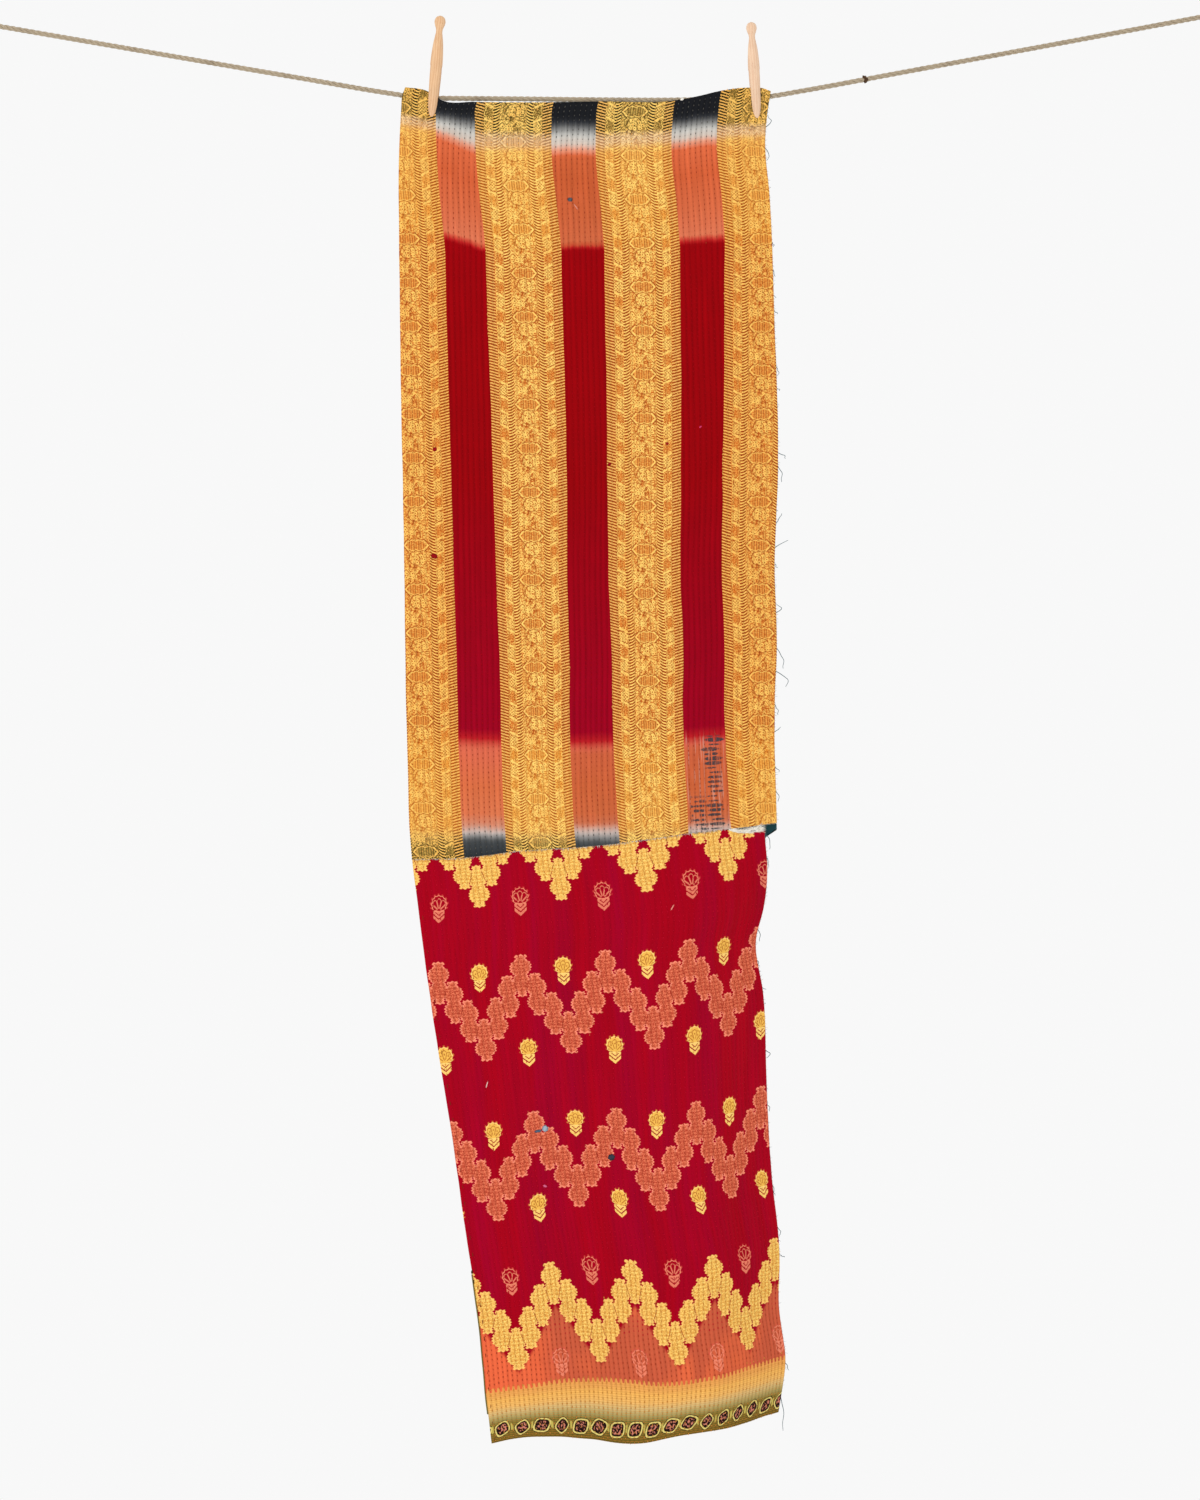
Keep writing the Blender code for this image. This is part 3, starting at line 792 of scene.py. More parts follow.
def weave_group():
    """Plain weave: the height of crossing threads, and a shade that varies from thread to thread."""
    (across, down, pitch), end = new_group(
        "plain_weave", dict(OVER_CLOTH, Pitch=THREAD_PITCH), ("Height", "Shade"))
    warp = (across / pitch * math.pi).maths("SINE")
    weft = (down / pitch * math.pi).maths("SINE")
    slub = noise(across * 1.4, down * 0.06, detail=3.0)
    weft_slub = noise(across * 0.05, down * 1.3, detail=3.0)
    put_out(end, abs(warp * weft) + slub * 0.5, (slub + weft_slub) * 0.5)


def worn_group():
    """Slits where the top cloth has worn through, and the pale warp threads left across them."""
    (across, down), end = new_group("worn_slits", OVER_CLOTH, ("Slit", "Warp"))
    row_pitch, column_pitch = 4.9, 6.4
    worn_zone = down.over(668.0, 671.0) * down.over(778.0, 770.0)
    row = (down * (1 / row_pitch)).floor()
    fray = noise(across * 0.5, down * 0.5, 5.0, roughness=0.7)
    low = down - row * row_pitch - row_pitch / 2 + (fray - 0.5) * 2.2

    # A long slit in every row, and short ones beside it.
    wide = chance(row, 1.0)
    x = (across - 331.0 + (chance(row, 2.0) - 0.5) * 6.0) / (wide * 5.0 + 5.0)
    y = low / (wide * 1.6 + 0.7)
    long_slit = (x * x + y * y).over(1.3, 0.8)
    column = (across * (1 / column_pitch)).floor()
    small = chance(row, column)
    x = (across - column * column_pitch - column_pitch / 2) / (small * 2.2 + 1.7)
    y = low / (small * 1.0 + 0.7)
    beside = across.near(313.0, 9.0, 1.0) * down.over(724.0, 742.0)
    short_slit = (x * x + y * y).over(1.3, 0.8) * small.over(0.15, 0.30) * beside

    threads = noise(across * 0.9, down * 0.05, detail=1.0).over(0.38, 0.46)
    stripe = across.near(323.0, 21.5, 1.0)
    pale = noise(across * 0.55, down * 0.02, 9.0)
    put_out(end, long_slit.most(short_slit) * threads * worn_zone * stripe,
            pale.over(0.56, 0.64) * worn_zone.most(down.over(660.0, 680.0)) * stripe)


def streak_group():
    """How far a dye line strays where the dye has run down the threads, from -1 to 1."""
    (across, down), end = new_group("dye_run", OVER_CLOTH, ("Stray",))
    fine = noise(across * 0.55, down * 0.012, detail=3.0, roughness=0.6)
    broad = noise(across * 0.045, down * 0.01, 4.0)
    put_out(end, (fine - 0.5) * 2.0 + (broad - 0.5) * 1.4)


# Small flowers of the gold band, in millimetres from the middle of its six-sided figure.
FLOWER_DOTS = (
    (-1.8, 9.2), (0.4, 12.2), (-2.4, 14.9), (0.6, 17.8), (9.0, 9.5), (5.6, 12.0), (8.6, 14.6),
    (6.4, 17.5), (-10.8, 29.4), (-4.8, 29.4), (-11.0, 33.8), (-7.2, 32.2), (-4.0, 33.4),
)


def gold_band_group():
    """The woven gold band: light threads, dark lines and its rims, over one band's width."""
    (across, down), end = new_group("gold_band", OVER_CLOTH, ("Light", "Line", "Rim"))
    sway = noise(across * 0.30, down * 0.22)
    shake = noise(across * 0.9, down * 0.9, 6.0, detail=1.0)
    down = down + (sway - 0.5) * 1.1 + (shake - 0.5) * 0.8
    x = across - GOLD_WIDTH / 2 + (shake - 0.5) * 0.9
    out = abs(x)

    # Slanting ticks at both rims, and chevrons the other way beside the middle.
    tick_zone = out.over(29.8, 30.2)
    tick = (down + out * 0.29).wave(TICK)
    chevron_zone = out.near(17.3, 3.3, 0.4)
    hook = (out - 16.4) * (out - 16.4) * 0.07
    chevron = (down - out * 0.55 + hook).wave(TICK)
    rows = tick * tick_zone + chevron * chevron_zone
    row_zone = tick_zone.most(chevron_zone)

    # Leaves, a small diamond and crumbs of thread, every ten ticks.
    lattice_zone = out.near(25.2, 4.6, 0.4)
    half_repeat = 5 * TICK
    y = down.centred(2 * half_repeat)
    inner = out - 25.2
    slant = y + inner * 0.46
    leaf = slant.near(7.6, 1.15, 1.0).most(slant.near(-7.2, 1.15, 1.0))
    leaf_rim = slant.near(5.6, 0.65, 0.6).most(slant.near(-5.2, 0.65, 0.6))
    in_diamond = (abs(y) + abs(inner) * 0.35).over(5.6, 4.9)
    cross = abs((inner + y).wave(6.4, 0.4)).least(abs((inner - y).wave(6.4, 0.4)))
    patch = (abs(y) - half_repeat) * (abs(y) - half_repeat) * 0.050 + inner * inner * 0.07
    crumbs = noise(out * 0.9, down * 0.9, 1.0, detail=1.0)
    lattice_light = leaf.most(in_diamond * cross.over(0.30, 0.50))
    lattice_light = lattice_light.most(crumbs.over(0.50, 0.56) * (patch.over(0.9, 1.1) * 0.6 + 0.4))
    lattice_line = (in_diamond * cross.over(0.42, 0.20)).most(leaf_rim)
    lattice_line = lattice_line.most(crumbs.over(0.47, 0.39) * 0.8) * (1.0 - lattice_light)

    # The middle, every fifteen ticks: a pointed six-sided figure, a rosette and a vine on lace.
    centre_zone = out.over(14.2, 13.8)
    cy = (down + 8.0).repeat(15 * TICK) - 8.0
    side = abs(cy)
    humps = 4.7 + abs(x.wave(13.6)) * 1.5
    six = (side / humps).most((out + side * 0.92) * (1 / 13.6))
    six_in = six.over(0.84, 0.76)
    beyond = six.over(1.02, 1.08)
    bars = x.wave(2.5, 0.6).over(0.2, 0.8) * six_in * out.over(9.2, 8.4) * 0.75
    place = point(x, cy)
    dots = nearest(place, FLOWER_DOTS)
    rosette = distance(place, 0.0, ROSETTE_DROP)
    turn = (x.maths("ARCTAN2", cy - ROSETTE_DROP) * 7.0).wave(2 * math.pi)
    petals = rosette.near(5.4, 1.5, 0.5) * turn.over(-0.5, 0.1)
    vine = (cy - 28.0 + (x * 0.42).maths("SINE") * 3.6)
    stem = vine.near(0.0, 0.75, 0.4)
    leaves = abs(vine).near(3.4, 1.3, 0.5) * (x + vine * 0.6).wave(5.6).over(-0.4, 0.2)
    cell = edges(x * 0.29, cy * 0.31, 0.4) * 3.3
    speck = edges(x * 0.62, cy * 0.66, 2.4) * 1.6
    lace = (cell.over(0.14, 0.40) * speck.over(0.06, 0.20)).most(petals).most(leaves * 0.9)
    light = (lace * beyond).most(six.near(0.92, 0.085, 0.06)).most(stem * 0.9).most(dots.over(2.0, 1.75))
    light = light.most(six_in * 0.30)
    corner = (out + side).over(15.8, 16.8) * side.over(4.6, 4.0) * 0.6
    gaps = (cell.over(0.24, 0.06) * 0.85).most(rosette.near(3.3, 0.35, 0.3) * 0.7)
    gaps = gaps.most(rosette.near(7.6, 0.4, 0.3) * 0.8).most(vine.near(1.5, 0.35, 0.3) * 0.7)
    lines = (gaps * beyond).most(six.near(1.07, 0.05, 0.06) * 0.9) * (1.0 - stem)
    lines = lines * dots.over(1.75, 2.0)
    lines = lines.most(dots.over(0.8, 0.45)).most(bars).most(corner)
    lines = lines.most((abs(out - 10.4) + side).over(1.1, 0.6))

    grain = noise(x * 0.42, down * 0.85, 3.0, detail=1.0)
    light = light + grain.over(0.54, 0.66) * 0.3 - grain.over(0.44, 0.34) * 0.4
    lattice_light = lattice_light + grain.over(0.56, 0.68) * 0.3 - grain.over(0.44, 0.34) * 0.3
    lines = lines.most(grain.over(0.36, 0.26) * 0.5)
    light = rows.over(-0.02, 0.48) * row_zone + lattice_light * lattice_zone + light * centre_zone
    line = rows.over(0.20, -0.38) * row_zone + lattice_line * lattice_zone + lines * centre_zone
    put_out(end, *(value.maths("ADD", 0.0, clamp=True) for value in (light, line, tick_zone)))


MEDALLION_ROW = 3.7  # from one woven row of a medallion to the next
# Half the width of the medallion whose upper roundel is the larger, down its height.
MEDALLION = (
    (-23.5, 7.6), (-22.0, 7.4), (-20.0, 6.2), (-17.6, 5.2), (-15.8, 7.0), (-13.6, 9.6), (-10.8, 10.9),
    (-8.0, 11.1), (-4.6, 10.0), (-1.8, 7.6), (-0.4, 7.0), (1.4, 7.6), (4.2, 9.4), (7.6, 10.0),
    (11.0, 9.4), (14.0, 7.4), (16.0, 5.4), (18.0, 4.6), (20.0, 4.8), (23.5, 4.6),
)


def medallion_group():
    """Two stacked roundels with a crown at each end, about their middle, in millimetres.

    Lean is 1 where the upper roundel is the large one and -1 where the lower one is.
    """
    (x, y, lean), end = new_group("medallion", {"X": 0.0, "Y": 0.0, "Lean": 0.0}, ("Inside", "Line"))
    out = abs(x)
    ends = MEDALLION[0][0], MEDALLION[-1][0]
    width = blended(lean * 0.5 + 0.5, (y * -1.0).curve(MEDALLION, *ends), y.curve(MEDALLION, *ends))
    width = width + y.wave(2.9) * 0.75
    crown = (x * (math.pi / 2.4)).maths("COSINE") * 0.5 - x * x * 0.03 + 0.6
    inside = (width - out).least(21.4 + crown - abs(y))
    bow = x * x * 0.045
    rows = y + bow * (y + 0.5).over(1.0, -1.0) - bow * 0.5
    lace = edges(x * 0.34, y * 0.60, 2.0)
    dashes = (x + (rows * (1 / MEDALLION_ROW)).floor() * 1.3).wave(2.7).over(-0.75, -0.2)
    line = (rows.wave(MEDALLION_ROW, 0.9).over(0.0, 0.6) * dashes).most(lace.over(0.13, 0.05) * 0.8)
    line = line * inside.over(2.5, 3.0)
    put_out(end, inside, line.most(inside.near(2.1, 0.32, 0.3) * (x + y).wave(1.7).over(-0.9, -0.3)))


def buti_group():
    """A domed palmette of five petals over two pointed leaves, about its middle, in millimetres."""
    (x, y), end = new_group("buti", {"X": 0.0, "Y": 0.0}, ("Inside", "Line", "Petals", "Rays"))
    out = abs(x)
    up = (1.6 - y) * 0.80
    away = (x * x + up * up).maths("POWER", 0.5)
    angle = x.maths("ARCTAN2", up)
    turn = angle.centred(0.62)
    rays = (angle * 19.0).wave(2 * math.pi, 1.57)
    egg = (x * x * 1.10 + (y + 5.4) * (y + 5.4)).maths("POWER", 0.5)
    head = (9.2 + rays * 0.35 - egg).least((2.9 - y - out * 0.12) * 0.9)
    fan = abs(angle).over(1.62, 1.56)
    scallop = (away + turn * turn * 18.0).near(10.0, 0.38, 0.3)
    to_parting = (0.31 - abs(turn)) * away
    between = to_parting.over(0.60, 0.25) * away.over(2.2, 3.0) * away.over(8.8, 8.2)
    outline = to_parting.over(0.8, 0.45) * away.over(1.6, 2.4) * away.over(8.9, 8.3)
    place = point(away * turn.maths("SINE"), away * turn.maths("COSINE"))
    heart = distance(place, 0.0, 6.8).over(0.95, 0.5)
    vee = y + out * 0.85
    leaf = (vee.over(14.6, 14.0) * (6.3 - out)).over(0.0, 0.4) * (y - 2.6 + out * 0.2).over(0.0, 0.5)
    veins = vee.near(10.4, 0.75, 0.4).most(vee.near(6.3, 0.6, 0.4)) * (y - 2.8).over(0.0, 0.4)
    leaf = leaf * (1.0 - veins)
    fringe = rays.over(0.1, 0.6) * egg.near(10.0, 0.8, 0.4) * (0.4 - y).over(0.0, 2.0)
    put_out(end, head.most(leaf * 1.6 - 0.6), between.most(heart).most(scallop) * fan,
            (outline.most(scallop) * fan).most(leaf), fringe)


# ------------------------ finishes


def serrated(value, pitch, share=0.55):
    """A place that steps a little from thread to thread, as woven edges do."""
    return value + ((value * (1.0 / pitch)).floor() * pitch + pitch / 2 - value) * share


def finish_cloth(shader, colour, across, down, figures, roughness, sheen, painted_dip_shade=0.20):
    """Weave, slubs and a little fuzz over a cloth's colour, painted shade in the dips between the quilted
    ribs, and the relief of its woven figures.
    """
    height, shade = use_group("plain_weave", across, down, 0.62)
    swell = Value(attribute(shader.id_data, "swell", "Fac"))
    # Painted shade: the colour darkens where the quilt's swell is low, in the dips between the ribs.
    toned = colour_times(colour, (shade * 0.34 + 0.83) * ((swell - 0.8) * painted_dip_shade + 1.0))
    for label, value in (("Sheen Weight", 0.04), ("Sheen Roughness", 0.5),
                         ("Sheen Tint", sheen), ("Specular IOR Level", 0.04)):
        feed(value, shader.inputs[label])
    lay_on(shader, toned, shade * 0.12 + roughness, height * 0.35 + figures, 0.22, 0.6)


# Dyes down the upper panel: millimetres below the rope, then the screen shade.
RED_STOPS = (
    (-12.0, 24, 26, 30), (12.0, 26, 28, 32), (18.0, 52, 54, 58),
    (25.0, 136, 136, 134), (31.0, 196, 194, 188), (40.0, 208, 190, 176),
    (45.0, 224, 152, 124), (52.0, 218, 104, 64), (80.0, 208, 94, 54),
    (115.0, 212, 104, 66), (144.0, 218, 116, 82), (149.0, 196, 36, 36),
    (154.0, 150, 0, 8), (400.0, 148, 0, 8), (660.0, 152, 0, 30),
    (669.0, 182, 26, 34),
    (680.0, 218, 104, 78), (720.0, 214, 108, 66), (748.0, 216, 116, 76),
    (760.0, 206, 136, 108), (769.0, 196, 178, 170), (776.0, 140, 138, 136),
    (785.0, 66, 70, 72), (800.0, 44, 48, 52),
)
GOLD_LINE_STOPS = (
    (-12.0, 26, 22, 8), (26.0, 40, 34, 12), (34.0, 168, 126, 92),
    (46.0, 186, 122, 60), (56.0, 168, 84, 16), (142.0, 158, 70, 12),
    (158.0, 150, 60, 16), (660.0, 150, 60, 14), (684.0, 166, 76, 16),
    (762.0, 176, 88, 26), (778.0, 112, 72, 30), (792.0, 34, 28, 12),
    (800.0, 26, 22, 8),
)
GOLD_GROUND_STOPS = (
    (-12.0, 112, 88, 34), (26.0, 150, 116, 52), (36.0, 216, 168, 118),
    (50.0, 232, 158, 72), (142.0, 228, 142, 50), (158.0, 216, 118, 42),
    (660.0, 214, 116, 40), (684.0, 228, 142, 48), (762.0, 226, 154, 64),
    (776.0, 204, 160, 92), (790.0, 128, 104, 44), (800.0, 110, 90, 36),
)


def striped_finish(dyes):
    """Gold brocade bands between stripes that shade from black over coral to crimson and back."""
    tree, shader = new_material("striped_cotton")
    across, motif = surface_map(tree, "pattern")
    dye = surface_map(tree, "dye")[1]
    stray, = use_group("dye_run", across, dye)
    strayed = dye + stray * 3.4
    in_band = (serrated(across, THREAD_STEP) - FIRST_STRIPE).repeat(STRIPE_PERIOD)
    gold_in = in_band.near(GOLD_WIDTH / 2, GOLD_WIDTH / 2, 0.5)

    # The stripes: the middle one has browner corals, and the right one is worn low down.
    coral = strayed.over(48.0, 56.0) * strayed.over(152.0, 147.0)
    coral = coral.most(strayed.over(674.0, 684.0) * strayed.over(764.0, 756.0))
    middle = across.near(MIDDLE_STRIPE, 50.0, 1.0)
    mottle = noise(across * 0.06, dye * 0.035, detail=4.0, roughness=0.6)
    run = noise(across * 0.35, dye * 0.006, 2.0, detail=3.0, roughness=0.6)
    worn_side = across.over(292.0, 300.0) * dye.over(600.0, 601.0)
    red = coated(ramp(strayed, RED_STOPS), (coral * middle.most(worn_side) * 0.6, srgb(190, 88, 46)),
                 (coral * mottle.over(0.45, 0.75) * 0.45, srgb(204, 98, 62)))
    slit, warp = use_group("worn_slits", across, dye)
    red = coated(colour_times(red, run * 0.50 + mottle * 0.20 + 0.64),
                 (warp * 0.4, srgb(206, 164, 148)), (slit * 0.92, srgb(44, 60, 66)))

    light, line, rim = use_group("gold_band", in_band, serrated(motif, WEFT_STEP))
    pale = strayed.over(24.0, 34.0) * strayed.over(48.0, 38.0)
    sides = abs(across - MIDDLE_STRIPE).over(96.0, 120.0)
    thread = coated(tuple(dyes.gold_thread), (rim, srgb(238, 182, 98)),
                    (mottle.over(0.4, 0.7) * 0.6, srgb(247, 186, 90)),
                    (sides * 0.5, srgb(244, 182, 86)), (pale * 0.6, srgb(232, 202, 168)))
    gold = coated(ramp(strayed, GOLD_GROUND_STOPS), (light, thread),
                  (line * 0.94, ramp(strayed, GOLD_LINE_STOPS)))
    finish_cloth(shader, colour_mix(gold_in, red, gold), across, dye, light * gold_in * 0.5, 0.74,
                 (1.0, 0.55, 0.35, 1.0))


# The zigzags: the drop of each one's highest medallions, and where its zone starts.
ZIGZAGS = ((-30.0, None), (129.8, 80.0), (295.0, 245.0), (453.0, 407.0))
ZIGZAG_STEP = 20.6
STEPS = 3  # medallions from a peak down to the next dip
# The rows of butis: the drop to their middles, and whether they lie on the peaks (0) or between (0.5).
BUTI_ROWS = ((53.0, 0.0), (127.7, 0.5), (211.0, 0.0), (291.2, 0.5), (373.9, 0.0), (444.2, 0.5),
             (536.2, 0.0))
BUTI_REACH = 20.0
TEETH_TOP = 553.2
TOOTH_PITCH = 5.3
ROUNDEL_PITCH = 21.2
BORDER_STOPS = (
    (550.0, 232, 150, 74), (562.0, 236, 168, 88), (568.0, 244, 184, 94), (576.0, 240, 186, 104),
    (583.0, 214, 184, 122), (590.0, 168, 156, 96), (596.0, 120, 110, 46), (617.0, 104, 88, 30),
)


def zigzags(across, down, fine_down):
    """The zigzags, six medallions a period: their fill, rims, woven lines and partings."""
    drop = fine_down - ZIGZAGS[0][0]
    for before, (first, start) in zip(ZIGZAGS, ZIGZAGS[1:]):
        drop = drop - down.past(start) * (first - before[0])
    pitch = PERIOD / (2 * STEPS)
    count = (across * (1 / pitch)).floor()
    inside, lines = [], []
    for step in (0.0, 1.0):
        level = (count + step).maths("PINGPONG", STEPS)
        one, line = use_group("medallion", across - (count + step) * pitch, drop - level * ZIGZAG_STEP,
                              level * (-2 / STEPS) + 1.0)
        inside.append(one)
        lines.append(line)
    apart_by = inside[0] - inside[1]
    depth = inside[0].most(inside[1])
    fill = depth.over(-0.2, 0.25)
    return (fill, depth.over(1.9, 1.5) * fill, blended(apart_by.over(-0.2, 0.2), lines[1], lines[0]),
            apart_by.near(0.0, 0.75, 0.5) * inside[0].over(0.2, 0.7))


def butis(across, down, fine_down):
    """The rows of butis: where they are, their rims, lines, petals and rays."""
    here = [abs(down - place).maths("LESS_THAN", BUTI_REACH) for place, offset in BUTI_ROWS]
    some, y, shift = here[0], (fine_down - BUTI_ROWS[0][0]) * here[0], None
    for row, (place, offset) in zip(here[1:], BUTI_ROWS[1:]):
        some = some.most(row)
        y = y + (fine_down - place) * row
        if offset:
            shift = row * offset if shift is None else shift + row * offset
    inside, line, petals, rays = use_group("buti", (across - shift * PERIOD).centred(PERIOD), y)
    buti = inside.over(-0.2, 0.3) * some
    return buti, inside.over(1.3, 0.8) * buti, line, petals, rays * some


def border(across, down, stray):
    """The lower border's colour: a fading gold band with small roundels over an olive hem."""
    combed = down.wave(2.3).over(0.1, 0.9) * down.over(558.0, 560.0) * 0.4
    which = ((across + ROUNDEL_PITCH / 2) * (1 / ROUNDEL_PITCH)).floor()
    lean = chance(which, 4.0) * 1.5 - 0.75
    x = across.centred(ROUNDEL_PITCH)
    y = down - 603.4 - (chance(which, 9.0) - 0.5) * 2.0
    cosine, sine = lean.maths("COSINE"), lean.maths("SINE")
    skew = abs(x * cosine + y * sine)
    tall = abs(y * cosine - x * sine + x * 0.25)
    shape = (skew * (1 / 7.9)).maths("POWER", 3.2) + (tall * (1 / 7.5)).maths("POWER", 3.2)
    wobble = noise(across * 0.5, down * 0.5, 2.0, detail=1.0)
    shape = shape + (wobble - 0.5) * 0.35
    spots = noise(across * 0.5, down * 0.34, 5.0, detail=1.0)
    between = abs(abs(x) - 10.0).over(0.8, 0.4) * y.near(-1.0, 4.0, 1.0)
    return coated(ramp(down + stray * 1.5, BORDER_STOPS, BORDER_STOPS[0][0], BORDER_STOPS[-1][0]),
                  (combed, srgb(206, 128, 54)), (shape.over(1.60, 1.36), srgb(34, 26, 12)),
                  (shape.near(0.88, 0.28, 0.14), srgb(226, 206, 118)),
                  (shape.over(0.56, 0.46), srgb(34, 16, 14)),
                  (spots.over(0.49, 0.56) * shape.over(0.30, 0.14), srgb(206, 126, 104)),
                  (between * 0.9, srgb(206, 188, 92)))


def zigzag_finish(dyes):
    """Crimson cotton with zigzags of medallions, small butis and a toothed gold border."""
    tree, shader = new_material("crimson_cotton")
    periods, down = surface_map(tree, "pattern")
    across = serrated(periods * PERIOD, THREAD_STEP)
    fine_down = serrated(down, WEFT_STEP)
    stray, = use_group("dye_run", across, down)
    fill, rim, line, parting = zigzags(across, down, fine_down)
    buti, buti_rim, buti_line, petals, rays = butis(across, down, fine_down)

    # The ground: crimson, and coral under the lowest zigzag.
    peak = periods.maths("PINGPONG", 0.5) * 2.0
    below = (down + stray * 2.5 - (478.0 + peak * 62.0)).over(-4.0, 4.0)
    patchy = noise(periods * 1.6, down * 0.010, detail=3.0)
    left = (periods * -0.55 + patchy * 0.7).over(-0.25, 0.05)
    coral = coated(srgb(204, 92, 62), (patchy.over(0.50, 0.75), srgb(232, 106, 64)),
                   (left, srgb(236, 104, 64)))
    plum = noise(across * 0.035, down * 0.002, 3.0, detail=3.0, roughness=0.6).over(0.38, 0.72)
    run = noise(across * 0.30, down * 0.006, 2.0, detail=3.0, roughness=0.6)
    broad = noise(across * 0.06, down * 0.004, 7.0, detail=3.0, roughness=0.6)
    ground = colour_mix(below, colour_mix(plum, tuple(dyes.crimson), tuple(dyes.plum)), coral)
    ground = colour_times(ground, run * 0.26 + broad * 0.44 + 0.63)

    # Gold in the first and the lowest zigzag and in the middle butis, coral in the others.
    gold_row = (1.0 - down.past(ZIGZAGS[1][1])).most(down.past(ZIGZAGS[3][1]))
    middle_rows = down.past(95.0) * (1.0 - down.past(412.0))
    figure = coated(colour_mix(gold_row, tuple(dyes.coral_figure), tuple(dyes.gold_figure)),
                    (rim, colour_mix(gold_row, srgb(248, 142, 112), srgb(255, 200, 108))),
                    (line * 0.85, colour_mix(gold_row, srgb(168, 44, 28), srgb(216, 138, 48))),
                    (parting * 0.9, srgb(150, 30, 20)))
    gold_buti = coated(srgb(242, 186, 84), (buti_rim, srgb(254, 214, 124)),
                       (buti_line * 0.8, srgb(166, 84, 24)))
    coral_buti = colour_mix(buti_rim.most(petals * 0.8), ground, srgb(240, 136, 108))

    finger = abs(across.centred(TOOTH_PITCH)) - (down - 552.8) * 0.20
    teeth = (down - TEETH_TOP).over(-0.4, 0.6) * finger.over(1.1, 0.5)
    teeth = teeth.most((down - TEETH_DROP).over(-0.5, 0.5))
    cloth = coated(ground, (fill, figure),
                   (rays * 0.7, colour_mix(middle_rows, srgb(220, 80, 70), srgb(224, 130, 62))),
                   (buti, colour_mix(middle_rows, coral_buti, gold_buti)),
                   (teeth, border(across, down, stray)))
    # Painted shade in the quilting's dips: stronger on the coral and the medallions, faint on the
    # crimson.
    painted_dip_shade = below.most(fill) * 0.16 + 0.04
    finish_cloth(shader, cloth, across, down, (fill * 0.4).most(buti * 0.5), 0.76,
                 (1.0, 0.35, 0.30, 1.0), painted_dip_shade)


def backing_finish(dyes):
    """Dark teal cotton with paler worn streaks down it, and painted shade in the dips between the stitch
    ribs.
    """
    tree, shader = new_material("teal_cotton")
    across, down = surface_map(tree, "pattern")
    patchy = noise(across * 0.012, down * 0.009, detail=4.0)
    worn = noise(across * 0.5, down * 0.04, detail=3.0)
    colour = coated(tuple(dyes.teal), (patchy, tuple(dyes.pale_teal)),
                    (worn.over(0.55, 0.8) * 0.35, srgb(84, 112, 112)))
    finish_cloth(shader, colour, across, down, worn * 0.2, 0.8, (0.7, 0.9, 0.9, 1.0))


def raw_edge_finish():
    """The cut edge of a layer, where its threads show end on."""
    tree, shader = new_material("raw_edge")
    across, down = surface_map(tree, "pattern")
    threads = noise(across * 2.6, down * 2.6, roughness=0.7)
    colour = colour_mix(threads.over(0.35, 0.65), srgb(180, 172, 160), srgb(238, 234, 226))
    lay_on(shader, colour, threads * 0.1 + 0.85, threads, 0.3)


def thread_finish():
    """Sewing thread, whose shade follows the cloth it lies on."""
    tree, shader = new_material("sewing_thread")
    fuzz = noise_at(tree.nodes.new("ShaderNodeTexCoord").outputs["Object"], 2600.0, 2.0)
    feed(0.05, shader.inputs["Specular IOR Level"])
    lay_on(shader, colour_times(attribute(tree, "thread", "Color"), fuzz * 0.5 + 0.75),
           fuzz * 0.2 + 0.65, fuzz, 0.06)


def rope_finish(dyes):
    """Grey-brown natural fibre, laid at a slant in each strand."""
    tree, shader = new_material("rope_fibre")
    round_strand, along = surface_map(tree, "pattern")
    lay = along * 0.9 + round_strand * 2.4
    yarn = lay.wave(1.5)
    fibre = noise(lay * 2.2, along * 0.18, detail=4.0, roughness=0.65)
    patchy = noise(along * 0.035, round_strand * 0.02, detail=3.0)
    colour = coated(srgb(160, 138, 108), (fibre, tuple(dyes.rope_fibre)),
                    (patchy.over(0.5, 0.75) * 0.5, srgb(150, 128, 104)))
    # Painted shade: the colour darkens along the grooves between the yarns, where the relief is low.
    lay_on(shader, colour_times(colour, yarn * 0.10 + 0.94), fibre * 0.1 + 0.82, yarn * 0.5 + fibre, 0.3)


def wood_finish(name, pale, dark):
    """Turned beech: grain along the peg, short dark flecks and a soft polish."""
    tree, shader = new_material(name)
    x, y, z = apart(attribute(tree, "turned", "Vector"))
    grain = noise(x * 0.9, y * 0.9, z * 0.045, detail=5.0, roughness=0.6)
    rings = (x * 1.0 + y * 0.35 + grain * 4.0).wave(2.6)
    fleck = noise(x * 3.5, y * 3.5, z * 0.55).over(0.62, 0.74)
    handled = noise(x * 0.05, y * 0.05, z * 0.05, detail=3.0)
    colour = coated(pale, ((rings * 0.5 + 0.5) * 0.6, dark), (fleck * 0.55, srgb(150, 104, 66)))
    lay_on(shader, colour_times(colour, handled * 0.25 + 0.86), grain * 0.2 + 0.42,
           grain + fleck * 0.5, 0.12, 0.5)


# ------------------------ operators' helpers


def cover(piece, slot, *nodes):
    """Rides a piece on the part in place of CAD nodes. The slot is not used."""
    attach(piece, "root")
    if nodes:
        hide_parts(*nodes)


def finished(made, *materials):
    """Gives a piece its materials, first to last."""
    for material in materials:
        made.data.materials.append(bpy.data.materials[material])
    return made


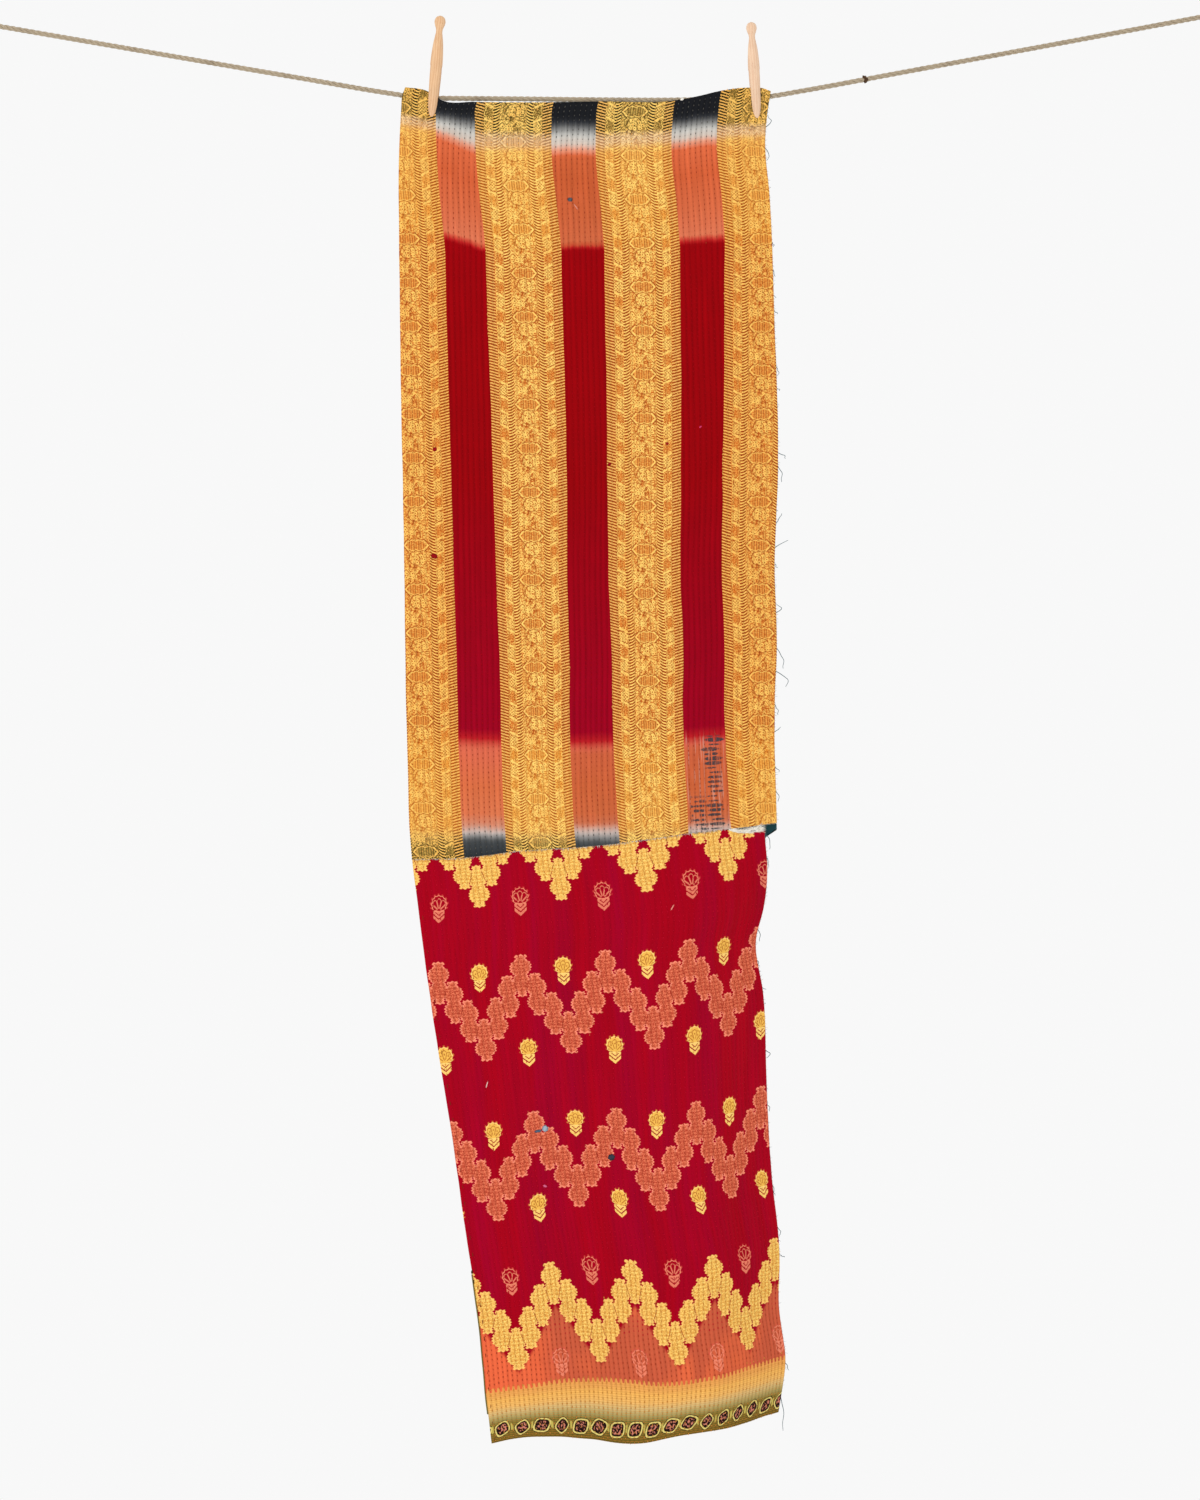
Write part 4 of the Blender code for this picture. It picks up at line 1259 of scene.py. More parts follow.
def make_layer(layer, fine, coarse, pattern, relief, materials):
    """Builds one quilted layer. fine is cells per stitch row and per stitch."""
    columns = RIBS * fine[0] + 1
    rows = layer.stitches * fine[1] + 1
    shares = np.linspace(0.0, 1.0, columns)
    heights = layer.heights(rows)
    swell = quilting(np.arange(rows) / fine[1], np.arange(columns) / fine[0]) * relief
    down_step, across_step = coarse
    few = heights[::down_step], shares[::across_step]
    if layer.behind:
        faces = layer.face(*few, LAYER)[0], layer.face(heights, shares, -swell)[0]
    else:
        grows = ease(*HIDDEN_EDGE, heights)[:, None] if layer.tuck else 1.0
        faces = layer.face(heights, shares, LAYER + swell * grows)[0], layer.face(*few, 0.0)[0]
    grids = pattern(layer.over(heights, shares), shares)
    made = closed_sheet(layer.name + "_quilted", *faces, grids, coarse)
    # The swell attribute tells the cloth's finish where to paint shade into the dips between the ribs.
    plain = np.ones(len(few[0]) * len(few[1]))
    noted(made.data, "swell", "FLOAT", np.concatenate([(swell / relief).ravel(), plain]))
    return finished(made, *materials)


def thread_shade(layer, woven, coordinates):
    """The screen shade of the sewing thread over a layer, as it shows against the cloth: the thread's
    colour taken from the cloth under it, a darker tone on coral, gold and pale grounds as painted shade
    of the stitch dimples, and a little lighter than the crimson as painted light that offsets the
    stitches' own shading.
    """
    across, down = coordinates
    if layer.behind:
        return (88, 122, 124)
    if layer.tuck:
        hidden, row = on_medallion(*woven)
        if hidden:
            return (216, 142, 62) if row in (0, 3) else (204, 92, 62)
        if on_buti(*woven):
            return (226, 160, 76)
        if down > 552:
            return (206, 140, 62)
        return (176, 66, 40) if down > 505 else (190, 8, 40)
    if (across - FIRST_STRIPE) % STRIPE_PERIOD < GOLD_WIDTH:
        return (236, 172, 84)
    if 152 < down < 670:
        return (164, 2, 18)
    return (160, 60, 36) if 48 < down < 762 else (84, 82, 76)


def on_medallion(periods, down):
    """Whether a medallion of the zigzags lies here, and which row of them."""
    row = sum(down > zigzag[1] for zigzag in ZIGZAGS[1:])
    y, half = np.array(MEDALLION).T
    for step in (0, 1):
        count = math.floor(periods * 6) + step
        level = abs((count + 3) % 6 - 3)
        lean = 1 - level / 1.5
        away = down - ZIGZAGS[row][0] - level * ZIGZAG_STEP
        width = np.interp([away, -away], y, half) @ ((1 + lean) / 2, (1 - lean) / 2)
        if abs(away) < 21.5 and abs(periods * 6 - count) * PERIOD / 6 < width:
            return True, row
    return False, row


def on_buti(periods, down):
    """Whether one of the gold butis lies here."""
    for place, offset in BUTI_ROWS[1:5]:
        x = abs((periods - offset + 0.5) % 1.0 - 0.5) * PERIOD
        y = down - place
        if math.hypot(x, y + 5.4) < 8.2 or (y > 0.0 and x < 5.6 and y + 0.85 * x < 13.0):
            return True
    return False


def stitch_tree():
    """Geometry Nodes: a grain of thread on every point, lying along the row."""
    tree = bpy.data.node_groups.new("running_stitch", "GeometryNodeTree")
    for label, kind, value in (
            ("Geometry", "Geometry", None), ("Length", "Float", 2.1 * MM), ("Width", "Float", 0.75 * MM),
            ("Height", "Float", 0.5 * MM), ("Unevenness", "Float", 0.3), ("Seed", "Int", SEED),
            ("Grain", "Object", None), ("Material", "Material", None)):
        socket = tree.interface.new_socket(label, in_out="INPUT", socket_type="NodeSocket" + kind)
        if value is not None:
            socket.default_value = value
    tree.interface.new_socket("Geometry", in_out="OUTPUT", socket_type="NodeSocketGeometry")
    given = tree.nodes.new("NodeGroupInput").outputs

    def made(kind, output, inputs, **settings):
        return add_node(tree, kind, inputs, **settings).outputs[output]

    facing, along = (made("GeometryNodeInputNamedAttribute", 0, {"Name": name}, data_type="FLOAT_VECTOR")
                     for name in ("facing", "along"))
    grain = made("GeometryNodeObjectInfo", "Geometry", {"Object": given["Grain"]})
    upright = made("FunctionNodeAlignRotationToVector", 0, {"Vector": facing}, axis="Z")
    turned = made("FunctionNodeAlignRotationToVector", 0, {"Rotation": upright, "Vector": along},
                  axis="X", pivot_axis="Z")
    size = made("ShaderNodeCombineXYZ", 0, zip("XYZ", (given["Length"], given["Width"], given["Height"])))
    low, high = (made("ShaderNodeMath", 0, {0: 1.0, 1: given["Unevenness"]}, operation=operation)
                 for operation in ("SUBTRACT", "ADD"))
    uneven = made("FunctionNodeRandomValue", 1, {2: low, 3: high, "Seed": given["Seed"]},
                  data_type="FLOAT")
    scaled = made("ShaderNodeVectorMath", 0, {0: size, "Scale": uneven}, operation="SCALE")
    placed = made("GeometryNodeInstanceOnPoints", 0, {
        "Points": given["Geometry"], "Instance": grain, "Rotation": turned, "Scale": scaled})
    real = made("GeometryNodeRealizeInstances", 0, {0: placed})
    paint = made("GeometryNodeSetMaterial", 0, {"Geometry": real, "Material": given["Material"]})
    feed(paint, tree.nodes.new("NodeGroupOutput").inputs[0])
    return tree


def thread_grain():
    """One short stitch of unit size, thick in the middle and sunk at both ends."""
    mesh = bmesh.new()
    tips = [mesh.verts.new((x, 0.0, -0.25)) for x in (-0.5, 0.5)]
    rings = [[mesh.verts.new((x, y, z)) for y, z in ((-0.5, -0.1), (0.0, 0.5), (0.5, -0.1))]
             for x in (-0.24, 0.24)]
    for k in range(3):
        after = (k + 1) % 3
        mesh.faces.new((rings[0][k], rings[0][after], rings[1][after], rings[1][k]))
        mesh.faces.new((tips[0], rings[0][after], rings[0][k]))
        mesh.faces.new((tips[1], rings[1][k], rings[1][after]))
    for face in mesh.faces:
        face.smooth = True
    return outward_object(mesh, "thread_grain")


def set_input(modifier, label, value):
    """Sets a Geometry Nodes input by its socket's identifier."""
    for item in modifier.node_group.interface.items_tree:
        if item.item_type == "SOCKET" and item.in_out == "INPUT" and item.name == label:
            modifier[item.identifier] = value
            return
    raise KeyError(label)


def make_stitches(layer, pattern, length, width, height):
    """The running stitches of one layer, one between every two dips of each row."""
    rng = np.random.default_rng(SEED)
    shares = np.linspace(0.0, 1.0, RIBS + 1)
    finer = np.linspace(layer.first, layer.last, layer.stitches * 2 + 1)
    out, sign = (0.0, -1.0) if layer.behind else (LAYER, 1.0)
    surface, normals = layer.face(finer, shares, out)
    over = layer.over(finer, shares)
    woven, coordinates = pattern(over, shares)
    places, facing, along, colours = [], [], [], []
    drift = 0.22 * np.cumsum(rng.normal(0.0, 0.5, RIBS + 1))
    drift -= np.round(drift)
    for column in range(1, RIBS):
        for i in range(1, len(finer) - 1, 2):
            if layer.tuck and over[i, column] < covered_until(shares[column]):
                continue
            way = surface[i + 1, column] - surface[i - 1, column]
            spot = surface[i, column] + way * drift[column] + rng.normal(0.0, 0.2 * MM, 3) * (1, 0, 1)
            places.append(spot + normals[i, column] * sign * 0.05 * MM)
            facing.append(normals[i, column] * sign)
            along.append(way + rng.normal(0.0, 0.05, 3) * np.linalg.norm(way))
            colours.append(srgb(*thread_shade(layer, woven[i, column], coordinates[i, column])))
    return sewn(layer.name + "_stitches", thread_grain, places, facing, along, colours,
                (length, width, height, 0.3))


def covered_until(share):
    """Down to this height the lower panel lies under the upper one."""
    return 1.003 + (SHOWING_EDGE + 0.004 - 1.003) * float(ease(*TUCK_ENDS, share))


def curled_thread():
    """A frayed thread of unit length that starts at its place and curls a little."""
    mesh = bmesh.new()
    rings = []
    for x in np.linspace(0, 1, 6):
        y, z = 0.9 * math.sin(2.4 * x) * x, 0.5 * math.sin(3.6 * x)
        size = 0.5 * (1.0 - 0.75 * x)
        rings.append([mesh.verts.new((x, y + size * math.cos(a), z + size * math.sin(a)))
                      for a in (0.0, 2.1, 4.2)])
    for first, second in zip(rings[:-1], rings[1:]):
        for k in range(3):
            mesh.faces.new((first[k], first[(k + 1) % 3], second[(k + 1) % 3], second[k]))
    mesh.faces.new(rings[0])
    mesh.faces.new(rings[-1])
    return outward_object(mesh, "curled_thread")


def grain_of(build):
    """The one shared object that a function builds and is named for."""
    return bpy.data.objects.get(build.__name__) or build()


def sewn(name, build, places, facing, along, colours, sizes):
    """Sets one grain of thread at every place, turned and tinted by its vectors."""
    mesh = bpy.data.meshes.new(name)
    mesh.from_pydata(np.asarray(places).tolist(), [], [])
    noted(mesh, "facing", "FLOAT_VECTOR", facing)
    noted(mesh, "along", "FLOAT_VECTOR", along)
    noted(mesh, "thread", "FLOAT_COLOR", colours)
    made = linked(bpy.data.objects.new(name, mesh))
    modifier = made.modifiers.new("stitches", "NODES")
    modifier.node_group = bpy.data.node_groups.get("running_stitch") or stitch_tree()
    labels = ("Length", "Width", "Height", "Unevenness", "Grain", "Material")
    for label, value in zip(labels, (*sizes, grain_of(build), bpy.data.materials["sewing_thread"])):
        set_input(modifier, label, value)
    return applied(made)


def edge_line(layer, side, count):
    """Points along one edge of a layer, their normals and the way out of the cloth."""
    if side in ("left", "right"):
        heights = np.linspace(layer.first + 0.01, layer.last - 0.005, count)
        points, normals = layer.face(heights, np.linspace(0.0, 1.0, RIBS + 1), LAYER)
        edge, inner = (0, 1) if side == "left" else (-1, -2)
        return points[:, edge], normals[:, edge], unit(points[:, edge] - points[:, inner])
    heights = np.array((layer.last - 0.004, layer.last))
    points, normals = layer.face(heights, np.linspace(0.005, 0.995, count), LAYER)
    return points[1], normals[1], unit(points[1] - points[0])


WHITE_THREADS = ((240, 236, 226), (224, 218, 206), (180, 178, 170), (120, 122, 118))
TEAL_THREADS = ((96, 120, 124), (64, 84, 88), (138, 154, 156), (196, 160, 110))
STRIP_THREADS = ((244, 242, 234), (232, 228, 218), (214, 208, 198), (246, 236, 216))


def fringe(name, layer, side, count, shades, length, width, unevenness):
    """Short frayed threads along an edge."""
    rng = np.random.default_rng(SEED + count)
    places, normals, ways = edge_line(layer, side, count)
    tangents = np.cross(ways, normals)
    lean = rng.normal(0.0, 1.1, (count, 1))
    along = ways + tangents * lean + normals * rng.normal(0.1, 0.2, (count, 1))
    picks = rng.integers(0, len(shades), count)
    places = places - ways * 0.3 * MM - normals * (rng.random((count, 1)) * 0.9 * MM)
    return sewn(name, curled_thread, places, normals + rng.normal(0.0, 0.5, (count, 3)), along,
                [srgb(*shades[k]) for k in picks], (length, width, width, unevenness))


# Loose threads at the right edge: down, reach, drop, bow, in millimetres.
LOOSE_THREADS = (
    (30.0, 3.2, -12.0, 4.5), (52.0, 2.0, 14.0, 4.0), (150.0, 3.0, 5.0, 0.5), (178.0, 2.5, 9.0, 1.2),
    (194.0, 3.0, 16.0, -1.0), (222.0, 4.5, 4.0, 0.4), (280.0, 3.0, 10.0, 1.6), (304.0, 4.0, 3.0, 0.6),
    (372.0, 9.0, 6.0, 2.5), (384.0, 4.0, 18.0, 3.0), (447.0, 7.0, -12.0, 0.6), (471.0, 14.0, -8.0, -1.2),
    (486.0, 3.0, 6.0, 0.8), (540.0, 1.0, -10.0, 6.0), (576.0, 8.0, 22.0, 3.0), (600.0, 12.0, 16.0, 6.0),
    (634.0, 5.0, 12.0, 1.0), (665.0, 7.0, -5.0, 1.0), (700.0, 5.0, 6.0, 1.0), (724.0, 4.0, 12.0, 1.6),
)
LOWER_THREADS = (
    (768.0, 5.0, 18.0, 4.0), (795.0, 2.0, 12.0, 1.8), (872.0, 2.5, 14.0, 1.4), (905.0, 3.0, 9.0, 1.0),
    (930.0, 5.0, 8.0, -1.0), (1002.0, 1.0, 9.0, 5.0), (1060.0, 3.5, 8.0, 1.2), (1144.0, 3.0, 14.0, 1.0),
    (1190.0, 4.0, 10.0, 1.4), (1220.0, 6.0, 3.0, 0.8), (1334.0, 4.0, 9.0, 1.5), (1370.0, 2.0, 38.0, 2.4),
)


OLIVE_LINE = (-1.315, -1.462)  # its ends, in metres up
SEAM_Z = -860.0  # between the panels
# Mends, stains and lint: x and z in millimetres, length, width, slant in degrees, shade.
SPECKS = (
    (620.0, -1163.6, 6.2, 5.4, 80.0, (156, 176, 190)), (613.6, -1165.2, 7.0, 2.4, 10.0, (84, 96, 116)),
    (690.9, -1194.6, 7.0, 5.4, 20.0, (58, 58, 70)), (645.8, -191.2, 4.6, 4.0, 60.0, (86, 88, 96)),
    (651.0, -197.8, 7.5, 1.0, -55.0, (226, 150, 130)), (752.9, -932.1, 7.0, 1.2, 60.0, (236, 140, 130)),
    (558.6, -1119.0, 7.0, 1.1, 75.0, (232, 190, 184)), (619.5, -1224.0, 4.0, 2.2, -20.0, (214, 100, 140)),
    (764.4, -86.8, 4.0, 2.2, 30.0, (240, 236, 226)), (506.1, -452.2, 4.6, 3.4, 20.0, (150, 14, 22)),
    (503.0, -564.6, 6.6, 4.4, -20.0, (148, 12, 20)), (687.8, -468.0, 4.4, 2.6, 70.0, (150, 16, 22)),
    (747.6, -447.0, 3.2, 2.4, 0.0, (156, 20, 26)), (782.0, -429.0, 3.0, 1.6, 40.0, (222, 60, 110)),
    (509.0, -1330.0, 4.2, 1.6, 85.0, (70, 50, 30)), (508.0, -1318.0, 3.8, 1.6, 85.0, (70, 50, 30)),
)


def raw_strip(name, layer, count, low, high):
    """Pale raw threads laid along the top of the lower panel's right end."""
    rng = np.random.default_rng(SEED + count)
    heights = np.array((layer.first, layer.first + 0.002))
    points, normals = layer.face(heights, np.linspace(0.0, 1.0, 400), LAYER * 1.5)
    share = rng.uniform(0.0, 1.0, count)
    at = ((low + (high - low) * share) * 399).astype(int)
    way = unit(points[0, at] - points[1, at])
    rise = (rng.uniform(0.0, 1.0, count) * (1.6 + 4.4 * share))[:, None] * MM
    along = np.cross(way, normals[0, at]) + way * rng.normal(0.0, 0.35, (count, 1))
    picks = rng.integers(0, len(STRIP_THREADS), count)
    return sewn(name, curled_thread, points[0, at] + way * rise, normals[0, at], along,
                [srgb(*STRIP_THREADS[k]) for k in picks], (4.6 * MM, 0.55 * MM, 0.55 * MM, 0.5))


def specks(name, layer, upper):
    """Small mends, stains and bits of lint that lie on a layer."""
    rows, shares = layer.heights(layer.stitches * 2), np.linspace(0.0, 1.0, 2 * RIBS + 1)
    points, normals = layer.face(rows, shares, LAYER + 0.45 * MM)
    pieces = []
    for x, z, length, width, slant, shade in SPECKS:
        if (z > SEAM_Z) == upper:
            away = (points[..., 0] - x * MM) ** 2 + (points[..., 2] - z * MM) ** 2
            at = np.unravel_index(np.argmin(away), away.shape)
            turn = math.radians(slant)
            place = points[at] + normals[at] * 0.05 * MM
            along = (math.cos(turn), 0.0, math.sin(turn))
            sizes = (length * MM * 1.2, width * MM * 1.2, 0.9 * MM, 0.0)
            pieces.append(sewn(f"{name}_{len(pieces)}", thread_grain, [place], [normals[at]], [along],
                               [srgb(*shade)], sizes))
    return joined(*pieces)


def loose_threads(name, layer, threads):
    """Long threads that have worked loose from the right edge."""
    rng = np.random.default_rng(SEED + len(threads))
    places = edge_line(layer, "right", 400)[0]
    pieces = []
    for k, (down, reach, drop, bow) in enumerate(threads):
        start = places[np.argmin(abs(places[:, 2] - (CLOTH_Z - down * MM)))]
        t = np.linspace(0.0, 1.0, 16)
        wiggle = np.sin(t * math.pi * rng.uniform(2.0, 4.0) + rng.uniform(0, 6)) * t * 0.9
        x = (reach * t + bow * np.sin(math.pi * t) + wiggle - 1.0) * MM
        z = (-drop * t + wiggle * 0.6) * MM
        y = (0.6 + np.sin(t * 5.0 + k) * 1.2 * t) * MM
        route = start + np.stack([x, y, z], axis=1)
        radius = (0.42 - 0.18 * t) * MM
        pieces.append(tube(name + str(k), route, radius, 5, t * 0.02))
    return joined(*pieces)


# ------------------------ rope


def knot_end(eye, towards):
    """Where the rope leaves the knot of an eye."""
    way = Vector(towards) - Vector(eye)
    return tuple(Vector(eye) + way.normalized() * (KNOT_AT + KNOT_HALF + GAP))


def rope_route(step):
    """The rope's middle line at even steps, and how far along it each point lies."""
    first = knot_end(LEFT_EYE, ROPE_POINTS[0])
    last = knot_end(RIGHT_EYE, ROPE_POINTS[-1])
    route = np.array((first,) + ROPE_POINTS + (last,))
    along = measured(route)
    at = np.linspace(0.0, along[-1], int(along[-1] / step) + 1)
    x, z = (smooth(np.stack([along, line], axis=1), at) for line in route.T)
    return np.stack([x, 0.0 * x, z], axis=1), at


def skin(name, strands, at, sides, closed=False):
    """Tubes with a map along each: a strand is its middles, two ways across them and its radii."""
    verts, faces, coordinates = [], [], []
    rings = len(at)
    turns = [2 * math.pi * k / sides for k in range(sides)]
    for strand in strands:
        start = len(verts)
        for middle, one, two, radius in zip(*strand):
            verts += [middle + radius * (one * math.cos(a) + two * math.sin(a)) for a in turns]
        for i in range(rings if closed else rings - 1):
            ring, after = start + i * sides, start + (i + 1) % rings * sides
            far = at[i + 1] if i + 1 < rings else at[-1] + at[1]
            for k in range(sides):
                k2 = (k + 1) % sides
                faces.append((ring + k, ring + k2, after + k2, after + k))
                coordinates += [(k, at[i] / MM), (k + 1, at[i] / MM), (k + 1, far / MM), (k, far / MM)]
        if not closed:
            faces.append([start + k for k in range(sides)][::-1])
            faces.append([start + (rings - 1) * sides + k for k in range(sides)])
            coordinates += [(k, 0.0) for k in range(sides)] * 2
    data = bpy.data.meshes.new(name)
    data.from_pydata([tuple(v) for v in verts], [], faces)
    lay_map(data, "pattern", coordinates)
    data.shade_smooth()
    mesh = bmesh.new()
    mesh.from_mesh(data)
    bpy.data.meshes.remove(data)
    return linked(outward_object(mesh, name))


def laid_strands(name, route, at, strand_radius, closed=False, turns=None):
    """Three strands laid round a route, as tubes with a map along each."""
    def slope(line):
        if closed:
            return unit(np.roll(line, -1, axis=0) - np.roll(line, 1, axis=0))
        return unit(np.gradient(line, axis=0))

    side = np.array((0.0, 1.0, 0.0))
    up = np.cross(slope(route), side)
    turn = 2 * math.pi * at / ROPE_TURN if turns is None else 2 * math.pi * turns * at / at[-1]
    strands = []
    for strand in range(3):
        angle = (turn + strand * 2 * math.pi / 3)[:, None]
        centre = route + strand_radius * (side * np.cos(angle) + up * np.sin(angle))
        way = slope(centre)
        outward = (centre - route) / strand_radius
        outward = unit(outward - way * (outward * way).sum(axis=1, keepdims=True))
        strands.append((centre, outward, np.cross(way, outward), np.full(len(route), strand_radius)))
    return skin(name, strands, at, STRAND_SIDES, closed)


def end_loop(name, eye, towards):
    """An eye of the rope and the turns of whipping that close it."""
    way = Vector(towards) - Vector(eye)
    lean = math.atan2(way[1], way[0])
    angles = np.linspace(0.0, 2 * math.pi, 49)[:-1]
    ring = np.stack([eye[0] + EYE_RADIUS * np.cos(angles), np.zeros(len(angles)),
                     eye[1] + EYE_RADIUS * np.sin(angles)], axis=1)
    loop = laid_strands(name, ring, angles * EYE_RADIUS, 1.42 * MM, closed=True, turns=4)
    t = np.linspace(0.0, 1.0, 190)[:, None]
    swing = 2 * math.pi * WHIPPING_TURNS * t
    radius = (3.4 + 1.3 * np.sin(math.pi * t)) * MM
    reach = KNOT_AT + (t - 0.5) * 2 * (KNOT_HALF - 1.6 * MM)
    along = np.array((math.cos(lean), 0.0, math.sin(lean)))
    up = np.array((-math.sin(lean), 0.0, math.cos(lean)))
    side = np.array((0.0, 1.0, 0.0))
    centre = np.array((eye[0], 0.0, eye[1]))
    coil = centre + reach * along + radius * (np.cos(swing) * side + np.sin(swing) * up)
    whipping = tube(name + "_whipping", coil, 1.25 * MM, 8, measured(coil))
    core = np.stack([centre + along * d for d in np.linspace(EYE_RADIUS, KNOT_AT + KNOT_HALF, 12)])
    inner = tube(name + "_core", core, 3.0 * MM, 10, np.linspace(0, 0.02, 12))
    return joined(loop, whipping, inner)


def tube(name, route, radius, sides, at):
    """A closed tube along a route, its radius a number or one for each point."""
    route = np.asarray(route)
    radii = np.broadcast_to(np.asarray(radius, float), (len(route),))
    way = unit(np.gradient(route, axis=0))
    normal = np.cross(way[0], (0.0, 0.0, 1.0))
    if np.linalg.norm(normal) < 0.1:
        normal = np.cross(way[0], (0.0, 1.0, 0.0))
    across = []
    for direction in way:
        normal = unit(normal - direction * np.dot(normal, direction))
        across.append(normal)
    return skin(name, [(route, across, np.cross(way, across), radii)], at, sides)


def threaded(made, shade):
    """Gives a whole piece the finish of the thread, in one shade."""
    noted(made.data, "thread", "FLOAT_COLOR", [shade] * len(made.data.vertices))
    return finished(made, "sewing_thread")


def joined(first, *others):
    """Joins pieces into the first one."""
    mesh = bmesh.new()
    mesh.from_mesh(first.data)
    for other in others:
        mesh.from_mesh(other.data)
    mesh.to_mesh(first.data)
    mesh.free()
    for other in others:
        bpy.data.objects.remove(other)
    return first


# ------------------------ pegs


def splay(above_tip, size):
    """How far each leg is pushed out, at heights above the peg's tip."""
    half_apart = (ROPE_RADIUS + GAP - (STACK_FRONT_Y - GAP)) / 2
    outward = half_apart - SLOT_WIDTH / 2
    return outward * (1.0 - ease(CLAMP_LENGTH * size, SLOT_LENGTH * size, above_tip))


def turned_blank(name, size, sides):
    """A peg's blank, turned from its profile, with its tip at the origin."""
    levels, radii = np.array(sorted(PEG_PROFILE)).T
    top, bottom = levels[-1], levels[0]
    fine = np.linspace(PEG_PROFILE[1][0], PEG_PROFILE[-2][0], 110)
    turned = np.maximum(smooth(np.stack([levels, radii], axis=1), fine), 0.4)
    mesh = bmesh.new()
    tips = [mesh.verts.new((0.0, 0.0, h * MM * size)) for h in (top, bottom)]
    rings = [[mesh.verts.new(tuple(MM * size * np.array((r * math.cos(a), r * math.sin(a), h))))
              for a in np.arange(sides) * 2 * math.pi / sides] for h, r in zip(fine, turned)]
    for k in range(sides):
        after = (k + 1) % sides
        mesh.faces.new((tips[0], rings[0][k], rings[0][after]))
        mesh.faces.new((tips[1], rings[-1][after], rings[-1][k]))
        for upper, lower in zip(rings[:-1], rings[1:]):
            mesh.faces.new((upper[k], lower[k], lower[after], upper[after]))
    return linked(outward_object(mesh, name))


def slot_cutter(size):
    """A long block with a round upper end, which cuts a peg's slot from its tip."""
    half = SLOT_WIDTH / 2
    top = SLOT_LENGTH * size - half
    arc = [(math.cos(a) * half, top + math.sin(a) * half) for a in np.linspace(0.0, math.pi, 13)]
    mesh = bmesh.new()
    outline = [(-half, -CUTTER_LENGTH), (half, -CUTTER_LENGTH)] + arc
    face = mesh.faces.new([mesh.verts.new((-CUTTER_LENGTH / 2, y, z)) for y, z in outline])
    cut = bmesh.ops.extrude_face_region(mesh, geom=[face])
    moved = [v for v in cut["geom"] if isinstance(v, bmesh.types.BMVert)]
    bmesh.ops.translate(mesh, vec=(CUTTER_LENGTH, 0.0, 0.0), verts=moved)
    return linked(outward_object(mesh, "slot_cutter"))


def make_peg(name, tip_x, tip_z, lean, size, sides):
    """A peg turned from its profile, slotted from its tip, with its legs spread."""
    peg = turned_blank(name + "_turned", size, sides)
    cutter = slot_cutter(size)
    boolean = peg.modifiers.new("slot", "BOOLEAN")
    boolean.operation = "DIFFERENCE"
    boolean.object = cutter
    bevel = peg.modifiers.new("worn_edges", "BEVEL")
    bevel.width = 0.5 * MM
    bevel.segments = 2
    bevel.angle_limit = math.radians(38.0)
    plain = applied(peg).data
    bpy.data.objects.remove(cutter)
    places = np.empty(len(plain.vertices) * 3, np.float32)
    plain.vertices.foreach_get("co", places)
    places = places.reshape(-1, 3)
    noted(plain, "turned", "FLOAT_VECTOR", places / MM)
    push = splay(places[:, 2], size) * np.sign(places[:, 1])
    places[:, 1] += np.where(places[:, 2] < SLOT_LENGTH * size, push, 0.0)
    plain.vertices.foreach_set("co", places.ravel())
    tip = Matrix.Translation((tip_x, PEG_MIDDLE_Y, tip_z))
    plain.transform(tip @ Matrix.Rotation(math.radians(lean), 4, "Y"))
    plain.shade_smooth()
    plain.set_sharp_from_angle(angle=math.radians(40.0))
    return peg


# ------------------------ settings


def setting(name, description, default, low, high, unit="LENGTH"):
    """A size or a strength that a user may change."""
    return bpy.props.FloatProperty(name=name, description=description, default=default,
                                   min=low, max=high, unit=unit, precision=5)


class KanthaClothSettings(bpy.types.PropertyGroup):
    """Sizes of the quilting."""

    rib_relief: setting("Rib Relief", "How far the quilting stands up between two rows of stitches",
                        0.55 * MM, 0.0, 2.0 * MM)
    stitch_length: setting("Stitch Length", "Length of a running stitch where it shows",
                           2.1 * MM, 0.5 * MM, 5.0 * MM)
    thread_width: setting("Thread Width", "Width of the sewing thread", 0.95 * MM, 0.2 * MM, 2.0 * MM)


def dye(name, description, *shade):
    """A colour that a user may change."""
    return bpy.props.FloatVectorProperty(name=name, description=description, subtype="COLOR", size=4,
                                         min=0.0, max=1.0, default=srgb(*shade))


class KanthaDyeSettings(bpy.types.PropertyGroup):
    """Main colours of the cloths, the rope and the pegs."""

    crimson: dye("Crimson", "Ground of the lower panel", 166, 0, 24)
    plum: dye("Plum", "Darker runs in the crimson ground", 156, 0, 38)
    gold_thread: dye("Gold Thread", "Light thread of the gold bands", 255, 211, 112)
    gold_figure: dye("Gold Medallions", "Medallions of the first and the lowest zigzag", 255, 214, 116)
    coral_figure: dye("Coral Medallions", "Medallions of the two middle zigzags", 234, 122, 88)
    teal: dye("Teal", "Dark shade of the backing", 22, 50, 54)
    pale_teal: dye("Pale Teal", "Light shade of the backing", 34, 68, 72)
    rope_fibre: dye("Rope Fibre", "Light shade of the rope", 244, 226, 196)
    warm_beech: dye("Warm Beech", "Wood of the left peg", 232, 190, 146)
    pale_beech: dye("Pale Beech", "Wood of the right peg", 236, 202, 170)


class KanthaRopeSettings(bpy.types.PropertyGroup):
    """Sizes of the rope."""

    strand_radius: setting("Strand Radius", "Radius of each of the three strands",
                           1.4 * MM, 0.5 * MM, 3.0 * MM)
    ring_step: setting("Ring Step", "Distance between two rings of points along the rope",
                       1.7 * MM, 0.5 * MM, 5.0 * MM)


class KanthaStageSettings(bpy.types.PropertyGroup):
    """The camera and the lights."""

    view_height: setting("View Height", "Height of the view at the cloth", 1.575, 0.5, 5.0)
    camera_distance: setting("Camera Distance", "From the camera to the cloth", 3.4, 1.0, 10.0)
    key_power: setting("Key Power", "Power of the soft light at the upper left",
                       18.0, 0.0, 500.0, "POWER")
    room_light: setting("Room Light", "Strength of the even light of the pale room",
                        0.94, 0.0, 3.0, "NONE")


# ------------------------ operators


